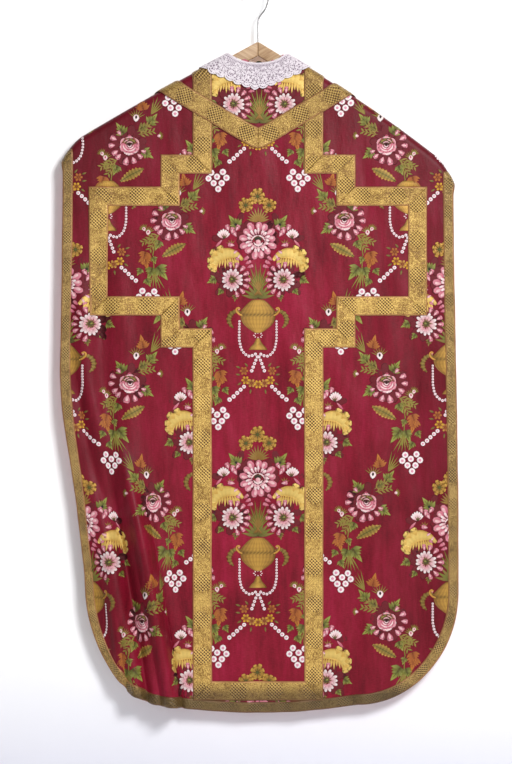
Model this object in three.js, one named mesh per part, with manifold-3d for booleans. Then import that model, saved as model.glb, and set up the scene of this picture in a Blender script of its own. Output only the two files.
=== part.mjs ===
// A chasuble on its wooden hanger, in millimetres. +Z is up and the back of the chasuble, with the
// cross, looks along -Y. The origin is the point inside the hook where a rail bears.
import * as THREE from "three";
import { mergeVertices } from "three/addons/utils/BufferGeometryUtils.js";
import Module from "manifold-3d";

const wasm = await Module();
wasm.setup();

// Driving dimensions of the cloth.
const HALF_WIDTH_TOP = 335; // from the centre line to the side edge, at the shoulder
const HALF_WIDTH_LOW = 344; // and above the round lower corners
const HEM_Z = -1247;
const HEM_RISE = 14; // how much higher the hem is where the round corner starts
const CORNER = { start: 172, rise: 194 };
const CREST_Z = -94; // where the cloth's inner face would lie over the hanger's middle
const CREST_LEFT = { slope: 0.505, curve: 0.00016 };
const CREST_RIGHT = { slope: 0.535, curve: 0.0004 };
const CREST_END = { start: 300, drop: 22 }; // the shoulder's outer end turns down from here
const ARCH_RADIUS = 10; // half of the space between the front and the back
const NECK_HALF = 53;
const NECK_BACK_Z = -131;
const NECK_CORNER_Z = -112;
const NECK_FRONT_Z = -345;
const FRONT_HEM_Z = -1195;
const FRONT_WAIST = { z: -560, half: 215, shoulder: 107, shoulderZ: -270, hip: 75, hipZ: -1000 };
const FRONT_CORNER = { start: 150, rise: 150 };

// Driving dimensions of the trimmings.
const BRAID = 33;
const EDGE_BRAID = 18;
const COLUMN_OUTER = 112;
const STEP_OUTER = 167;
const ARM_OUTER = 290;
const STEP_TOP_Z = -290;
const ARM_TOP_Z = -345;
const ARM_BOTTOM_Z = -566;
const STEP_BOTTOM_Z = -621;
const VEE = { point: -284, slope: 0.6, half: 260 };
const LACE_DEPTH = 44;
const FACING_DEPTH = 14;
const SEAM_INSET = BRAID / 2; // the silk's seams run under the middle of the braid

// Each layer's inner and outer face, measured outwards from the lining's inner face.
const LAYERS = {
  facing: [-0.9, -0.3],
  lining: [0, 0.6],
  interlining: [0.9, 2.1],
  silk: [2.4, 3.2],
  braid: [3.5, 4.3],
  upperBraid: [4.6, 5.3],
  lace: [5.6, 6.2],
};
const GAP = 0.3;

// Driving dimensions of the hanger.
const WOOD_HALF_THICK = 6;
const WOOD_TALL = 24;
const WOOD_APEX_Z = -95.2;
const WOOD_HALF_SPAN = 150;
const WOOD_SLOPE_LEFT = 0.54; // the hanger hangs with its left arm a little high
const WOOD_SLOPE_RIGHT = 0.61;
const TONGUE = { half: 9, halfThick: 3, top: -102, bottom: -110 };
const WIRE_RADIUS = 1.3;
const BORE_RADIUS = 1.65;
const HOOK_BEND_RADIUS = 17; // inside the bend
const NUT = { radius: 3.6, tall: 2.4, top: -113.2 };
const NUT_BORE = { radius: 4.2, top: -112.6 };

// The folds at the lower left: where each ridge starts and where it meets the hem, both as
// [across, height], with the ridge's width and how far it stands out.
const FOLDS = [
  { top: [-262, -700], hem: [-165, -1220], width: 32, out: 32 },
  { top: [-318, -800], hem: [-238, -1220], width: 30, out: 26 },
];
const FOLD_GROWTH = 330; // the length over which a fold grows to its full depth
const STEP_ACROSS = 8;

// Every upright cutter runs through the whole thickness of the garment and clear of it.
const ABOVE = 0;
const BELOW = -1400;
const FAR_SIDE = 500;
const THROUGH = 90;

const range = (count) => Array.from({ length: count + 1 }, (_, i) => i / count);
const smooth = (t) => {
  const c = Math.min(1, Math.max(0, t));
  return c * c * (3 - 2 * c);
};

// ---- How the cloth hangs ----

// The height of the cloth's inner face along the top of the shoulder.
function crest(across) {
  const a = Math.abs(across);
  const side = across < 0 ? CREST_LEFT : CREST_RIGHT;
  const end = Math.max(0, (a - CREST_END.start) / (HALF_WIDTH_TOP - CREST_END.start));
  return CREST_Z - side.slope * a - side.curve * a * a - CREST_END.drop * end ** 2;
}

// How far the folds push the cloth outwards, and how steep that push is across the cloth.
function foldAt(across, height) {
  let out = 0;
  let steep = 0;
  for (const fold of FOLDS) {
    const along = (height - fold.top[1]) / (fold.hem[1] - fold.top[1]);
    const middle = fold.top[0] + along * (fold.hem[0] - fold.top[0]);
    const t = (across - middle) / fold.width;
    const size = fold.out * smooth((fold.top[1] - height) / FOLD_GROWTH) * Math.exp(-t * t);
    out += size;
    steep -= (2 * t * size) / fold.width;
  }
  return { out, steep: Math.min(0.95, Math.abs(steep)) };
}

// The folds take up width, so the cloth's edge is drawn towards the centre line.
function drawnIn(across, height) {
  const steps = Math.max(1, Math.ceil(Math.abs(across) / STEP_ACROSS));
  const step = across / steps;
  let x = 0;
  for (let i = 0; i < steps; i++) x += step * Math.sqrt(1 - foldAt((i + 0.5) * step, height).steep ** 2);
  return x;
}

// A point of the back below the shoulder.
function hangBack(across, height, depth) {
  const y = -(ARCH_RADIUS + depth + foldAt(across, height).out);
  return new THREE.Vector3(drawnIn(across, height), y, height);
}

// A point of the back's arch over the shoulder: -90 degrees is its seam with the front.
function hangArch(across, angle, depth) {
  const r = ARCH_RADIUS + depth;
  return new THREE.Vector3(across, -r * Math.sin(angle), crest(across) - ARCH_RADIUS + r * Math.cos(angle));
}

// ---- Solids ----

function solidOf(geometry) {
  const bare = new THREE.BufferGeometry().setAttribute("position", geometry.getAttribute("position"));
  bare.setIndex(geometry.index);
  const merged = mergeVertices(bare, 1e-4);
  const vertProperties = merged.attributes.position.array;
  const triVerts = new Uint32Array(merged.index.array);
  return new wasm.Manifold(new wasm.Mesh({ numProp: 3, vertProperties, triVerts }));
}

function geometryOf(solid) {
  const mesh = solid.getMesh();
  const geometry = new THREE.BufferGeometry();
  geometry.setAttribute("position", new THREE.BufferAttribute(new Float32Array(mesh.vertProperties), 3));
  geometry.setIndex(new THREE.BufferAttribute(new Uint32Array(mesh.triVerts), 1));
  geometry.computeVertexNormals();
  return geometry;
}

// A layer of cloth between two depths, with the same creases on both faces so that layers nest.
// place(u, v, depth) gives the hung point, with u and v from 0 to 1 across the columns and down the rows.
function layer(columns, rows, [near, far], place) {
  const plane = new THREE.PlaneGeometry(1, 1, columns, rows);
  const { uv, position } = plane.attributes;
  const points = [near, far].flatMap((depth) =>
    Array.from({ length: position.count }, (_, i) => place(uv.getX(i), 1 - uv.getY(i), depth).toArray()),
  );
  const index = [];
  const faces = plane.index.array;
  for (let i = 0; i < faces.length; i += 3) {
    const [a, b, c] = faces.slice(i, i + 3);
    index.push(a, c, b, a + position.count, b + position.count, c + position.count);
  }
  const wall = (a, b) => index.push(a, b, b + position.count, a, b + position.count, a + position.count);
  const at = (column, row) => row * (columns + 1) + column;
  for (let c = 0; c < columns; c++) {
    wall(at(c + 1, 0), at(c, 0));
    wall(at(c, rows), at(c + 1, rows));
  }
  for (let r = 0; r < rows; r++) {
    wall(at(0, r), at(0, r + 1));
    wall(at(columns, r + 1), at(columns, r));
  }
  const geometry = new THREE.BufferGeometry().setIndex(index);
  geometry.setAttribute("position", new THREE.BufferAttribute(new Float32Array(points.flat()), 3));
  return solidOf(geometry);
}

// An upright cutter with the given [x, z] outline.
function cutter(outline) {
  const shape = new THREE.Shape(outline.map(([x, z]) => new THREE.Vector2(x, z)));
  const block = new THREE.ExtrudeGeometry(shape, { depth: 2 * THROUGH, bevelEnabled: false });
  block.rotateX(Math.PI / 2).translate(0, THROUGH, 0);
  return solidOf(block);
}

const band = (x0, x1, z0, z1) => cutter([[x0, z0], [x1, z0], [x1, z1], [x0, z1]]);
const mirrored = (outline) => outline.map(([x, z]) => [-x, z]).reverse();
const leftSide = band(-FAR_SIDE, 0, BELOW, ABOVE);
const rightSide = band(0, FAR_SIDE, BELOW, ABOVE);

// ---- Outlines, as [x, z] points ----

// The side edge, the round corner and half of the hem, on the right, moved inwards by inset.
function sideAndHem(half, top, hem, rise, corner, inset) {
  const centre = hem + rise + corner.rise;
  const side = range(9).map((t) => top + t * (centre - top)).map((z) => [half(z) - inset, z]);
  const wide = half(centre) - corner.start - inset;
  const round = range(7).slice(1).map((t) => (t * Math.PI) / 2);
  const bend = round.map((a) => [
    corner.start + wide * Math.cos(a),
    centre - (corner.rise - inset) * Math.sin(a),
  ]);
  const bottom = range(3).slice(1).map((t) => [
    corner.start * (1 - t),
    hem + inset + rise * (1 - t) ** 2,
  ]);
  return [...side, ...bend, ...bottom];
}

const backHalf = (z) => HALF_WIDTH_TOP + (HALF_WIDTH_LOW - HALF_WIDTH_TOP) * smooth((-280 - z) / 720);

function frontHalf(z) {
  const w = FRONT_WAIST;
  if (z > w.z) return w.half + w.shoulder * Math.min(1, (z - w.z) / (w.shoulderZ - w.z)) ** 2;
  return w.half + w.hip * smooth((w.z - z) / (w.z - w.hipZ));
}

// The back's outline as it hangs, with its edges drawn in by the folds.
function backOutline(inset) {
  const right = sideAndHem(backHalf, -262, HEM_Z, HEM_RISE, CORNER, inset);
  const hung = [...right, ...mirrored(right).slice(1)].map(([x, z]) => [drawnIn(x, z), z]);
  return cutter([[hung[0][0], ABOVE], ...hung, [hung[hung.length - 1][0], ABOVE]]);
}

function frontOutline(inset) {
  const right = sideAndHem(frontHalf, -250, FRONT_HEM_Z, 10, FRONT_CORNER, inset);
  const flat = [...right, ...mirrored(right).slice(1)];
  return cutter([[flat[0][0], ABOVE], ...flat, [flat[flat.length - 1][0], ABOVE]]);
}

// The neck: a shallow curve at the back and a deep point at the front, grown outwards.
function neckBack(grow) {
  const half = NECK_HALF + grow;
  const curve = range(6).map((t) => [
    half * (2 * t - 1),
    NECK_BACK_Z - grow + (NECK_CORNER_Z - NECK_BACK_Z) * (2 * t - 1) ** 2,
  ]);
  return cutter([...curve, [half, ABOVE], [-half, ABOVE]]);
}

function neckFront(grow) {
  const half = NECK_HALF + grow;
  const point = NECK_FRONT_Z - 1.6 * grow;
  const curve = range(8).map((t) => [
    half * (2 * t - 1),
    point + (NECK_CORNER_Z - point) * Math.abs(2 * t - 1) ** 1.3,
  ]);
  return cutter([...curve, [half, ABOVE], [-half, ABOVE]]);
}

// The stepped cross, from the shoulder to below the hem, moved inwards by inset.
function cross(inset) {
  const [column, step, arm] = [COLUMN_OUTER, STEP_OUTER, ARM_OUTER].map((x) => x - inset);
  const right = [
    [column, BELOW],
    [column, STEP_BOTTOM_Z + inset],
    [step, STEP_BOTTOM_Z + inset],
    [step, ARM_BOTTOM_Z + inset],
    [arm, ARM_BOTTOM_Z + inset],
    [arm, ARM_TOP_Z - inset],
    [step, ARM_TOP_Z - inset],
    [step, STEP_TOP_Z - inset],
    [column, STEP_TOP_Z - inset],
    [column, ABOVE],
  ];
  return cutter([...right, ...mirrored(right)]);
}

// Everything above the V that starts at the given height on the centre line.
const aboveVee = (z) =>
  cutter([
    [0, z],
    [VEE.half, z + VEE.half * VEE.slope],
    [VEE.half, ABOVE],
    [-VEE.half, ABOVE],
    [-VEE.half, z + VEE.half * VEE.slope],
  ]);

// The shoulder seam, from the neck to the side edge.
const alongSeam = (drop) => {
  const line = range(6).map((t) => -FAR_SIDE * 0.7 + t * FAR_SIDE * 1.4);
  const low = line.map((x) => [x, crest(x) - drop]);
  return cutter([...low, [line[line.length - 1], ABOVE], [line[0], ABOVE]]);
};

// ---- The layers of the back and of the front, before the trimmings are cut from them ----

const ARCH_ROWS = 6;
const PANEL_ROWS = 7;
const ACROSS = [-352, -330, -298, -262, -226, -190, -154, -118, -60, 0, 60, 118, 170, 240, 300, 326, 352];
const pick = (list, u) => list[Math.round(u * (list.length - 1))];

function backLayer(depths) {
  const rows = ARCH_ROWS + PANEL_ROWS;
  const made = layer(ACROSS.length - 1, rows, depths, (u, v, depth) => {
    const across = pick(ACROSS, u);
    const row = Math.round(v * rows);
    if (row < ARCH_ROWS) return hangArch(across, Math.PI * (row / ARCH_ROWS - 0.5), depth);
    const top = crest(across) - ARCH_RADIUS;
    const down = ((row - ARCH_ROWS) / PANEL_ROWS) ** 0.7;
    return hangBack(across, top + down * (HEM_Z - 16 - top), depth);
  });
  return made.intersect(backOutline(0)).subtract(neckBack(0));
}

function frontLayer(depths) {
  const made = layer(ACROSS.length - 1, 1, depths, (u, v, depth) => {
    const across = pick(ACROSS, 1 - u); // seen from the front, left and right change places
    const top = crest(across) - ARCH_RADIUS - GAP;
    return new THREE.Vector3(across, ARCH_RADIUS + depth, top + v * (FRONT_HEM_Z - 16 - top));
  });
  return made.intersect(frontOutline(0)).subtract(neckFront(0));
}

// ---- Materials ----

const finish = (color, roughness, metalness = 0) =>
  new THREE.MeshStandardMaterial({ color, roughness, metalness });
const silk = finish(0x8a2540, 0.45);
const goldBraid = finish(0xb8904f, 0.4, 0.4);
const laceCotton = finish(0xe6e0dc, 0.85);
const canvas = finish(0xcbbd9f, 0.95);
const liningCotton = finish(0xa8474f, 0.8);
const linenTape = finish(0xe8e2d4, 0.9);
const beech = finish(0xd1b597, 0.6);
const steel = finish(0x8a8a8c, 0.3, 0.9);

const root = new THREE.Group();

function add(name, solid, material) {
  const mesh = new THREE.Mesh(geometryOf(solid), material);
  mesh.name = name;
  root.add(mesh);
}

// Adds the left and the right half of a trimming as two pieces.
function addPair(name, solid, material) {
  add(name + "_left", solid.intersect(leftSide), material);
  add(name + "_right", solid.intersect(rightSide.translate(GAP, 0, 0)), material);
}

// ---- The back ----

function makeBack() {
  const on = (name) => backLayer(LAYERS[name]);
  add("back_lining", on("lining"), liningCotton);
  add("back_interlining", on("interlining"), canvas);

  const silkSheet = on("silk");
  const underVee = aboveVee(VEE.point + SEAM_INSET);
  const belowVee = silkSheet.subtract(aboveVee(VEE.point + SEAM_INSET - GAP));
  add("back_silk_neck", silkSheet.intersect(underVee), silk);
  add("back_silk_cross", belowVee.intersect(cross(SEAM_INSET)), silk);
  addPair("back_silk", belowVee.subtract(cross(SEAM_INSET - GAP)), silk);

  const braid = on("braid");
  add("back_edge_braid", braid.subtract(backOutline(EDGE_BRAID)), goldBraid);
  const inside = braid.intersect(backOutline(EDGE_BRAID + GAP));
  const footTop = HEM_Z + EDGE_BRAID + BRAID;
  const column = COLUMN_OUTER - BRAID;
  addPair("cross_braid", inside.intersect(cross(0)).subtract(cross(BRAID)), goldBraid);
  add("cross_braid_foot", inside.intersect(band(GAP - column, column - GAP, BELOW, footTop)), goldBraid);

  const tall = BRAID * Math.hypot(1, VEE.slope);
  const veeBand = aboveVee(VEE.point).subtract(aboveVee(VEE.point + tall));
  addPair("neck_braid", on("upperBraid").intersect(veeBand), goldBraid);
  add("back_lace", on("lace").intersect(neckBack(LACE_DEPTH)), laceCotton);
  add("back_neck_facing", on("facing").intersect(neckBack(FACING_DEPTH)), linenTape);
}

// ---- The front ----

function makeFront() {
  const on = (name) => frontLayer(LAYERS[name]);
  add("front_lining", on("lining"), liningCotton);
  add("front_interlining", on("interlining"), canvas);
  const silkSheet = on("silk");
  const pillar = (half) => band(-half, half, BELOW, ABOVE);
  add("front_silk_pillar", silkSheet.intersect(pillar(COLUMN_OUTER - SEAM_INSET)), silk);
  addPair("front_silk", silkSheet.subtract(pillar(COLUMN_OUTER - SEAM_INSET + GAP)), silk);

  const braid = on("braid");
  const seamDrop = ARCH_RADIUS + GAP + EDGE_BRAID;
  const belowSeam = braid.subtract(alongSeam(seamDrop + GAP));
  const belowNeck = belowSeam.subtract(neckFront(EDGE_BRAID + GAP));
  add("front_edge_braid", belowSeam.subtract(frontOutline(EDGE_BRAID)), goldBraid);
  addPair("shoulder_braid", braid.intersect(alongSeam(seamDrop)), goldBraid);
  addPair("front_neck_braid", belowSeam.intersect(neckFront(EDGE_BRAID)), goldBraid);
  const inside = belowNeck.intersect(frontOutline(EDGE_BRAID + GAP));
  const footTop = FRONT_HEM_Z + EDGE_BRAID + BRAID;
  const column = COLUMN_OUTER - BRAID;
  addPair("pillar_braid", inside.intersect(pillar(COLUMN_OUTER)).subtract(pillar(column)), goldBraid);
  add("pillar_braid_foot", inside.intersect(band(GAP - column, column - GAP, BELOW, footTop)), goldBraid);
  addPair("front_lace", on("lace").intersect(neckFront(30)), laceCotton);
  addPair("front_neck_facing", on("facing").intersect(neckFront(FACING_DEPTH)), linenTape);
}

// ---- The hanger ----

function cylinder(radius, top, bottom, sides = 16) {
  const geometry = new THREE.CylinderGeometry(radius, radius, top - bottom, sides);
  geometry.rotateX(Math.PI / 2).translate(0, 0, (top + bottom) / 2);
  return solidOf(geometry);
}

// One arm, mitred at the middle, from the slope of its top edge.
function arm(sign, slope) {
  const top = (x) => WOOD_APEX_Z - slope * x;
  const end = range(6).map((t) => {
    const a = (0.5 - t) * Math.PI;
    const middle = top(WOOD_HALF_SPAN) - WOOD_TALL / 2;
    return [WOOD_HALF_SPAN - 12 + 12 * Math.cos(a), middle + 12 * slope + (WOOD_TALL / 2) * Math.sin(a)];
  });
  const right = [[GAP / 2, top(0) - WOOD_TALL], [GAP / 2, top(0)], ...end];
  const outline = right.map(([x, z]) => new THREE.Vector2(sign * x, z));
  const bevel = { bevelSize: 1.8, bevelOffset: -1.8, bevelThickness: 1.8, bevelSegments: 1 };
  const depth = 2 * (WOOD_HALF_THICK - bevel.bevelThickness);
  const wood = new THREE.ExtrudeGeometry(new THREE.Shape(outline), { ...bevel, bevelEnabled: true, depth });
  wood.rotateX(Math.PI / 2).translate(0, depth / 2, 0);
  const slot = solidOf(new THREE.BoxGeometry(
    2 * (TONGUE.half + GAP),
    2 * (TONGUE.halfThick + GAP),
    TONGUE.top - TONGUE.bottom + 2 * GAP,
  )).translate(0, 0, (TONGUE.top + TONGUE.bottom) / 2);
  return solidOf(wood)
    .subtract(slot)
    .subtract(cylinder(BORE_RADIUS, -80, -140))
    .subtract(cylinder(NUT_BORE.radius, NUT_BORE.top, -140));
}

function hook() {
  const centre = -HOOK_BEND_RADIUS;
  const r = HOOK_BEND_RADIUS + WIRE_RADIUS;
  const bend = range(12).map((t) => {
    const a = -0.25 + t * (Math.PI + 0.35);
    return new THREE.Vector3(r * Math.cos(a), 0, centre + r * Math.sin(a));
  });
  const shank = [-118.5, -100, -80, -62].map((z) => new THREE.Vector3(0, 0, z));
  const elbow = [[1.2, -53.5], [7, -46], [14, -38]].map(([x, z]) => new THREE.Vector3(x, 0, z));
  const path = new THREE.CatmullRomCurve3([...shank, ...elbow, ...bend], false, "centripetal");
  const section = new THREE.Shape().absarc(0, 0, WIRE_RADIUS, 0, 2 * Math.PI);
  const options = { steps: 40, extrudePath: path, curveSegments: 5 };
  return solidOf(new THREE.ExtrudeGeometry(section, options));
}

function makeHanger() {
  add("hanger_arm_left", arm(-1, WOOD_SLOPE_LEFT), beech);
  add("hanger_arm_right", arm(1, WOOD_SLOPE_RIGHT), beech);
  const tongue = new THREE.BoxGeometry(2 * TONGUE.half, 2 * TONGUE.halfThick, TONGUE.top - TONGUE.bottom);
  const placed = solidOf(tongue).translate(0, 0, (TONGUE.top + TONGUE.bottom) / 2);
  add("hanger_tongue", placed.subtract(cylinder(BORE_RADIUS, -80, -140)), beech);
  add("hook", hook(), steel);
  const nut = cylinder(NUT.radius, NUT.top, NUT.top - NUT.tall, 6);
  add("hook_nut", nut.subtract(cylinder(WIRE_RADIUS + GAP, -80, -140)), steel);
}

makeBack();
makeFront();
makeHanger();
export default root;
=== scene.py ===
# %% [markdown]
# # A chasuble on its hanger
# The chasuble is a flat, stiff vestment of brocaded silk. Its back carries a stepped cross outlined in
# gold galloon, and it hangs from a wooden hanger on a wire hook. Everything here is cut flat, as the
# maker cuts it, and then hung: one pair of functions says where each point of the flat cloth comes to
# lie, so that silk, lining, braid, brocade and lace all follow the same folds.

# %% Load the frame
import math

import bpy
import numpy as np
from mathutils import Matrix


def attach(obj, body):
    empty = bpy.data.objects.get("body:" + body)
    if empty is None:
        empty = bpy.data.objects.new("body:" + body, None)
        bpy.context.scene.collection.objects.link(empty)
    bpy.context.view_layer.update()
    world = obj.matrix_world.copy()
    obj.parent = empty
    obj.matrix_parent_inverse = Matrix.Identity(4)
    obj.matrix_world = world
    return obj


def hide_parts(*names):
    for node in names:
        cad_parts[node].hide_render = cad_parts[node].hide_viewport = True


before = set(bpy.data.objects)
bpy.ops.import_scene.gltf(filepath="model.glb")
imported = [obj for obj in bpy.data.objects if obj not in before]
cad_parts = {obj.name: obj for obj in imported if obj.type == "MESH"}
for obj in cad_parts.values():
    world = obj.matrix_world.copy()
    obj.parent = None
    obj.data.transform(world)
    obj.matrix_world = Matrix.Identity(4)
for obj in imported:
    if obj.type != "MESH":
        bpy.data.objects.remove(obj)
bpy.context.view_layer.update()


# %% [markdown]
# ## Camera and studio
# The camera looks straight at the middle of the back with a long lens, so that the flat garment keeps
# its shape. The wall close behind it is painted on the side that faces the camera only. Seen from behind
# it is clear, and it stops no light, so that the front of the garment can be lit and looked at as well.

# %% Camera
FRAME_TALL = 1.314  # metres of the garment's plane that fill the height of the view
CAMERA_AWAY = 4.2
AIM_X, AIM_Z = -0.0034, -0.680
SENSOR = 36.0

camera_data = bpy.data.cameras.new("camera")
camera_data.sensor_width = SENSOR
camera_data.lens = SENSOR * CAMERA_AWAY / FRAME_TALL
camera = bpy.data.objects.new("camera", camera_data)
camera.location = (AIM_X, -CAMERA_AWAY, AIM_Z)
camera.rotation_euler = (math.pi / 2, 0, 0)
bpy.context.collection.objects.link(camera)
bpy.context.scene.camera = camera
bpy.context.scene.view_settings.view_transform = "Standard"
print("lens", round(camera_data.lens, 1), "mm")


# %% Colours are written as they look, and turned into the linear values that shaders use
def linear(red, green, blue):
    shares = np.array([red, green, blue]) / 255
    low = shares / 12.92
    high = ((shares + 0.055) / 1.055) ** 2.4
    return tuple(np.where(shares <= 0.04045, low, high)) + (1.0,)


# %% Where the cloth is painted darker, as painted shade where less light falls, in metres
PAINTED_SHADE_SIDE = 0.34  # how far from the middle the painted shade on the sides is darkest
PAINTED_SHADE_SHOULDER = (-0.40, -0.16)  # the heights over which the painted shade on the shoulders grows
PAINTED_SHADE_FOOT = (-1.19, -1.215)  # and the foot
MOST_PAINTED_SHADE = 0.9


# %% Helpers for building a material's nodes
class Finish:
    """A material with a Principled shader, and short calls that add and join nodes."""

    def __init__(self, name, **sockets):
        self.material = bpy.data.materials.new(name)
        self.material.use_nodes = True
        self.tree = self.material.node_tree
        self.shader = self.tree.nodes["Principled BSDF"]
        for socket, value in sockets.items():
            self.shader.inputs[socket.replace("_", " ").title().replace("Ior", "IOR")].default_value = value

    def add(self, kind, settings=None, **inputs):
        made = self.tree.nodes.new("ShaderNode" + kind)
        for key, value in (settings or {}).items():
            setattr(made, key, value)
        for key, value in inputs.items():
            socket = made.inputs[int(key[1:])] if key[0] == "i" and key[1:].isdigit() else made.inputs[key]
            if isinstance(value, bpy.types.NodeSocket):
                self.tree.links.new(value, socket)
            else:
                socket.default_value = value
        return made

    def maths(self, operation, first, second=0.0):
        return self.add("Math", {"operation": operation}, i0=first, i1=second).outputs[0]

    def sum_of(self, *parts):
        """The sum of some values, each times its weight."""
        total = self.maths("MULTIPLY", *parts[0])
        for value, weight in parts[1:]:
            total = self.maths("ADD", total, self.maths("MULTIPLY", value, weight))
        return total

    def between(self, value, ends):
        """How far a value has gone from the first end to the second, from 0 to 1."""
        return self.add("MapRange", **{"Value": value, "From Min": ends[0], "From Max": ends[1]}).outputs[0]

    def noise(self, where, scale, detail=3.0, roughness=0.5):
        made = self.add("TexNoise", Vector=where, Scale=scale, Detail=detail, Roughness=roughness)
        return made.outputs["Fac"]

    def mix(self, share, first, second):
        made = self.add("Mix", {"data_type": "RGBA"}, i0=share, i6=first, i7=second)
        return made.outputs[2]

    def ramp(self, share, *stops):
        made = self.add("ValToRGB", Fac=share)
        ramp = made.color_ramp
        while len(ramp.elements) < len(stops):
            ramp.elements.new(0.5)
        for element, (position, colour) in zip(ramp.elements, stops):
            element.position = position
            element.color = colour
        return made.outputs["Color"]

    def colour(self, source):
        self.tree.links.new(source, self.shader.inputs["Base Color"])

    def bump(self, height, strength, distance):
        made = self.add("Bump", Strength=strength, Distance=distance, Height=height)
        self.tree.links.new(made.outputs["Normal"], self.shader.inputs["Normal"])

    def object_place(self, stretch=(1, 1, 1)):
        place = self.add("TexCoord").outputs["Object"]
        return self.add("Mapping", Vector=place, Scale=stretch).outputs["Vector"]

    def painted_shade(self, colour, dark, sides, top, foot):
        """Painted shade: darker towards the sides, the shoulders and the foot, by those weights, where less
        light falls.
        """
        parts = self.add("SeparateXYZ", Vector=self.object_place())
        side = self.maths("DIVIDE", self.maths("ABSOLUTE", parts.outputs["X"]), PAINTED_SHADE_SIDE)
        side = self.maths("POWER", side, 2.0)
        above = self.between(parts.outputs["Z"], PAINTED_SHADE_SHOULDER)
        below = self.between(parts.outputs["Z"], PAINTED_SHADE_FOOT)
        share = self.sum_of((side, sides), (above, top), (below, foot))
        return self.mix(self.maths("MINIMUM", share, MOST_PAINTED_SHADE), colour, dark)

    def cloth_place(self, turn=0.0, stretch=(1, 1, 1)):
        place = self.add("UVMap", {"uv_map": "UVMap"}).outputs["UV"]
        return self.add("Mapping", Vector=place, Rotation=(0, 0, turn), Scale=stretch).outputs["Vector"]


BLACK = (0, 0, 0, 1)


# %% Wall, floor and world
WALL_Y, WALL_Z, FLOOR_Z = 0.021, -0.55, -1.75
WALL_SIZE, FLOOR_SIZE = (3.4, 3.0), (8, 8)
SHADED_BELOW, WHITE_ABOVE = 0.235, 0.31  # shares of the wall's height
WORLD_LIGHT = 0.27


def stage_plane(name, size, location, turn, material):
    bpy.ops.object.select_all(action="DESELECT")
    bpy.ops.mesh.primitive_plane_add(size=1, location=location, rotation=turn)
    plane = bpy.context.object
    plane.name = name
    plane.scale = (*size, 1)
    plane.data.materials.append(material)
    print(name, size)


paint = Finish("wall paint", roughness=0.9)
wall_height = paint.add("SeparateXYZ", Vector=paint.add("TexCoord").outputs["Object"]).outputs["Y"]
wall_height = paint.maths("ADD", wall_height, 0.5)
paint.colour(
    paint.ramp(wall_height, (SHADED_BELOW, (0.74, 0.74, 0.82, 1)), (WHITE_ABOVE, (0.975, 0.975, 0.98, 1)))
)
backs = paint.add("NewGeometry").outputs["Backfacing"]
shadows = paint.add("LightPath").outputs["Is Shadow Ray"]
clear = paint.add("BsdfTransparent").outputs[0]
one_sided = paint.add(
    "MixShader", i0=paint.maths("MAXIMUM", backs, shadows), i1=paint.shader.outputs[0], i2=clear
)
paint.tree.links.new(one_sided.outputs[0], paint.tree.nodes["Material Output"].inputs["Surface"])
stage_plane("wall", WALL_SIZE, (0, WALL_Y, WALL_Z), (math.pi / 2, 0, 0), paint.material)

boards = Finish("floor paint", roughness=0.8)
boards.shader.inputs["Base Color"].default_value = (0.86, 0.86, 0.87, 1)
stage_plane("floor", FLOOR_SIZE, (0, 0, FLOOR_Z), (0, 0, 0), boards.material)

world = bpy.data.worlds.new("studio")
world.use_nodes = True
world.node_tree.nodes["Background"].inputs["Color"].default_value = (1, 1, 1, 1)
world.node_tree.nodes["Background"].inputs["Strength"].default_value = WORLD_LIGHT
bpy.context.scene.world = world


# %% Lights
MIDDLE = (0, 0, -0.62)

def soft_light(name, location, aim, size, watts):
    lamp = bpy.data.lights.new(name, "AREA")
    lamp.energy = watts
    lamp.size = size
    made = bpy.data.objects.new(name, lamp)
    made.location = location
    away = np.array(location) - np.array(aim)
    across = math.hypot(away[0], away[1])
    made.rotation_euler = (math.atan2(across, away[2]), 0, math.atan2(away[1], away[0]) + math.pi / 2)
    bpy.context.collection.objects.link(made)
    print(name, watts, "W")


soft_light("key", (1.25, -2.75, 0.75), MIDDLE, 0.8, 96)
soft_light("fill", (-1.2, -3.0, 0.0), MIDDLE, 1.6, 10)
soft_light("back_fill", (0.8, 2.6, 0.4), MIDDLE, 1.6, 60)

# %% [markdown]
# ## How the cloth hangs
# A point of the flat cloth is named by two lengths in millimetres: how far it is across from the centre
# line, and its height below the hook. Below the shoulder it hangs straight down. Above that line the
# back runs over the hanger in a half round, to the seam with the front. The lower left corner has swung
# forward into two slanting folds with sharper pleats between them, which use up width and so draw that
# edge in. A table of hung points is worked out once, and every piece reads its place and its outward
# direction from it.

# %% The garment's cut, in millimetres
MM = 0.001
ROUND = 10.0  # radius of the half round over the hanger, inside the lining
CREST_Z = -94.0
HEM_Z = -1247.0
BACK_CORNER = (172.0, 194.0, 14.0)  # where the corner's curve starts, its rise, and the hem's own rise
FRONT_CORNER = (150.0, 150.0, 10.0)
SLOPES, CURVES = (0.505, 0.535), (0.00016, 0.0004)  # of the shoulders, left and right
TIP_START, TIP_LENGTH, TIP_DROP = 300.0, 35.0, 22.0  # where the shoulder turns down past the hanger
BACK_HALF, BACK_FLARE, FLARE_TOP, FLARE_TALL = 335.0, 9.0, -280.0, 720.0
CHEST_HALF, CHEST_Z, CHEST_TO_SHOULDER, CHEST_TO_SKIRT = 215.0, -560.0, 290.0, 440.0
SHOULDER_FLARE, SKIRT_FLARE = 107.0, 75.0
NECK_HALF, NECK_LOW, NECK_HIGH, NECK_FRONT = 53.0, -131.0, -112.0, -345.0
FRONT_HEM, FRONT_TOP = -1195.0, -284.0
BRAID, EDGE_BRAID = 33.0, 18.0
COLUMN, STEP, ARM = 112.0, 167.0, 290.0
STEP_TOP, ARM_TOP, ARM_LOW, STEP_LOW, FOOT = -290.0, -345.0, -566.0, -621.0, -1226.0
VEE_POINT, VEE_SLOPE = -284.0, 0.6
SEAM = BRAID / 2

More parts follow.
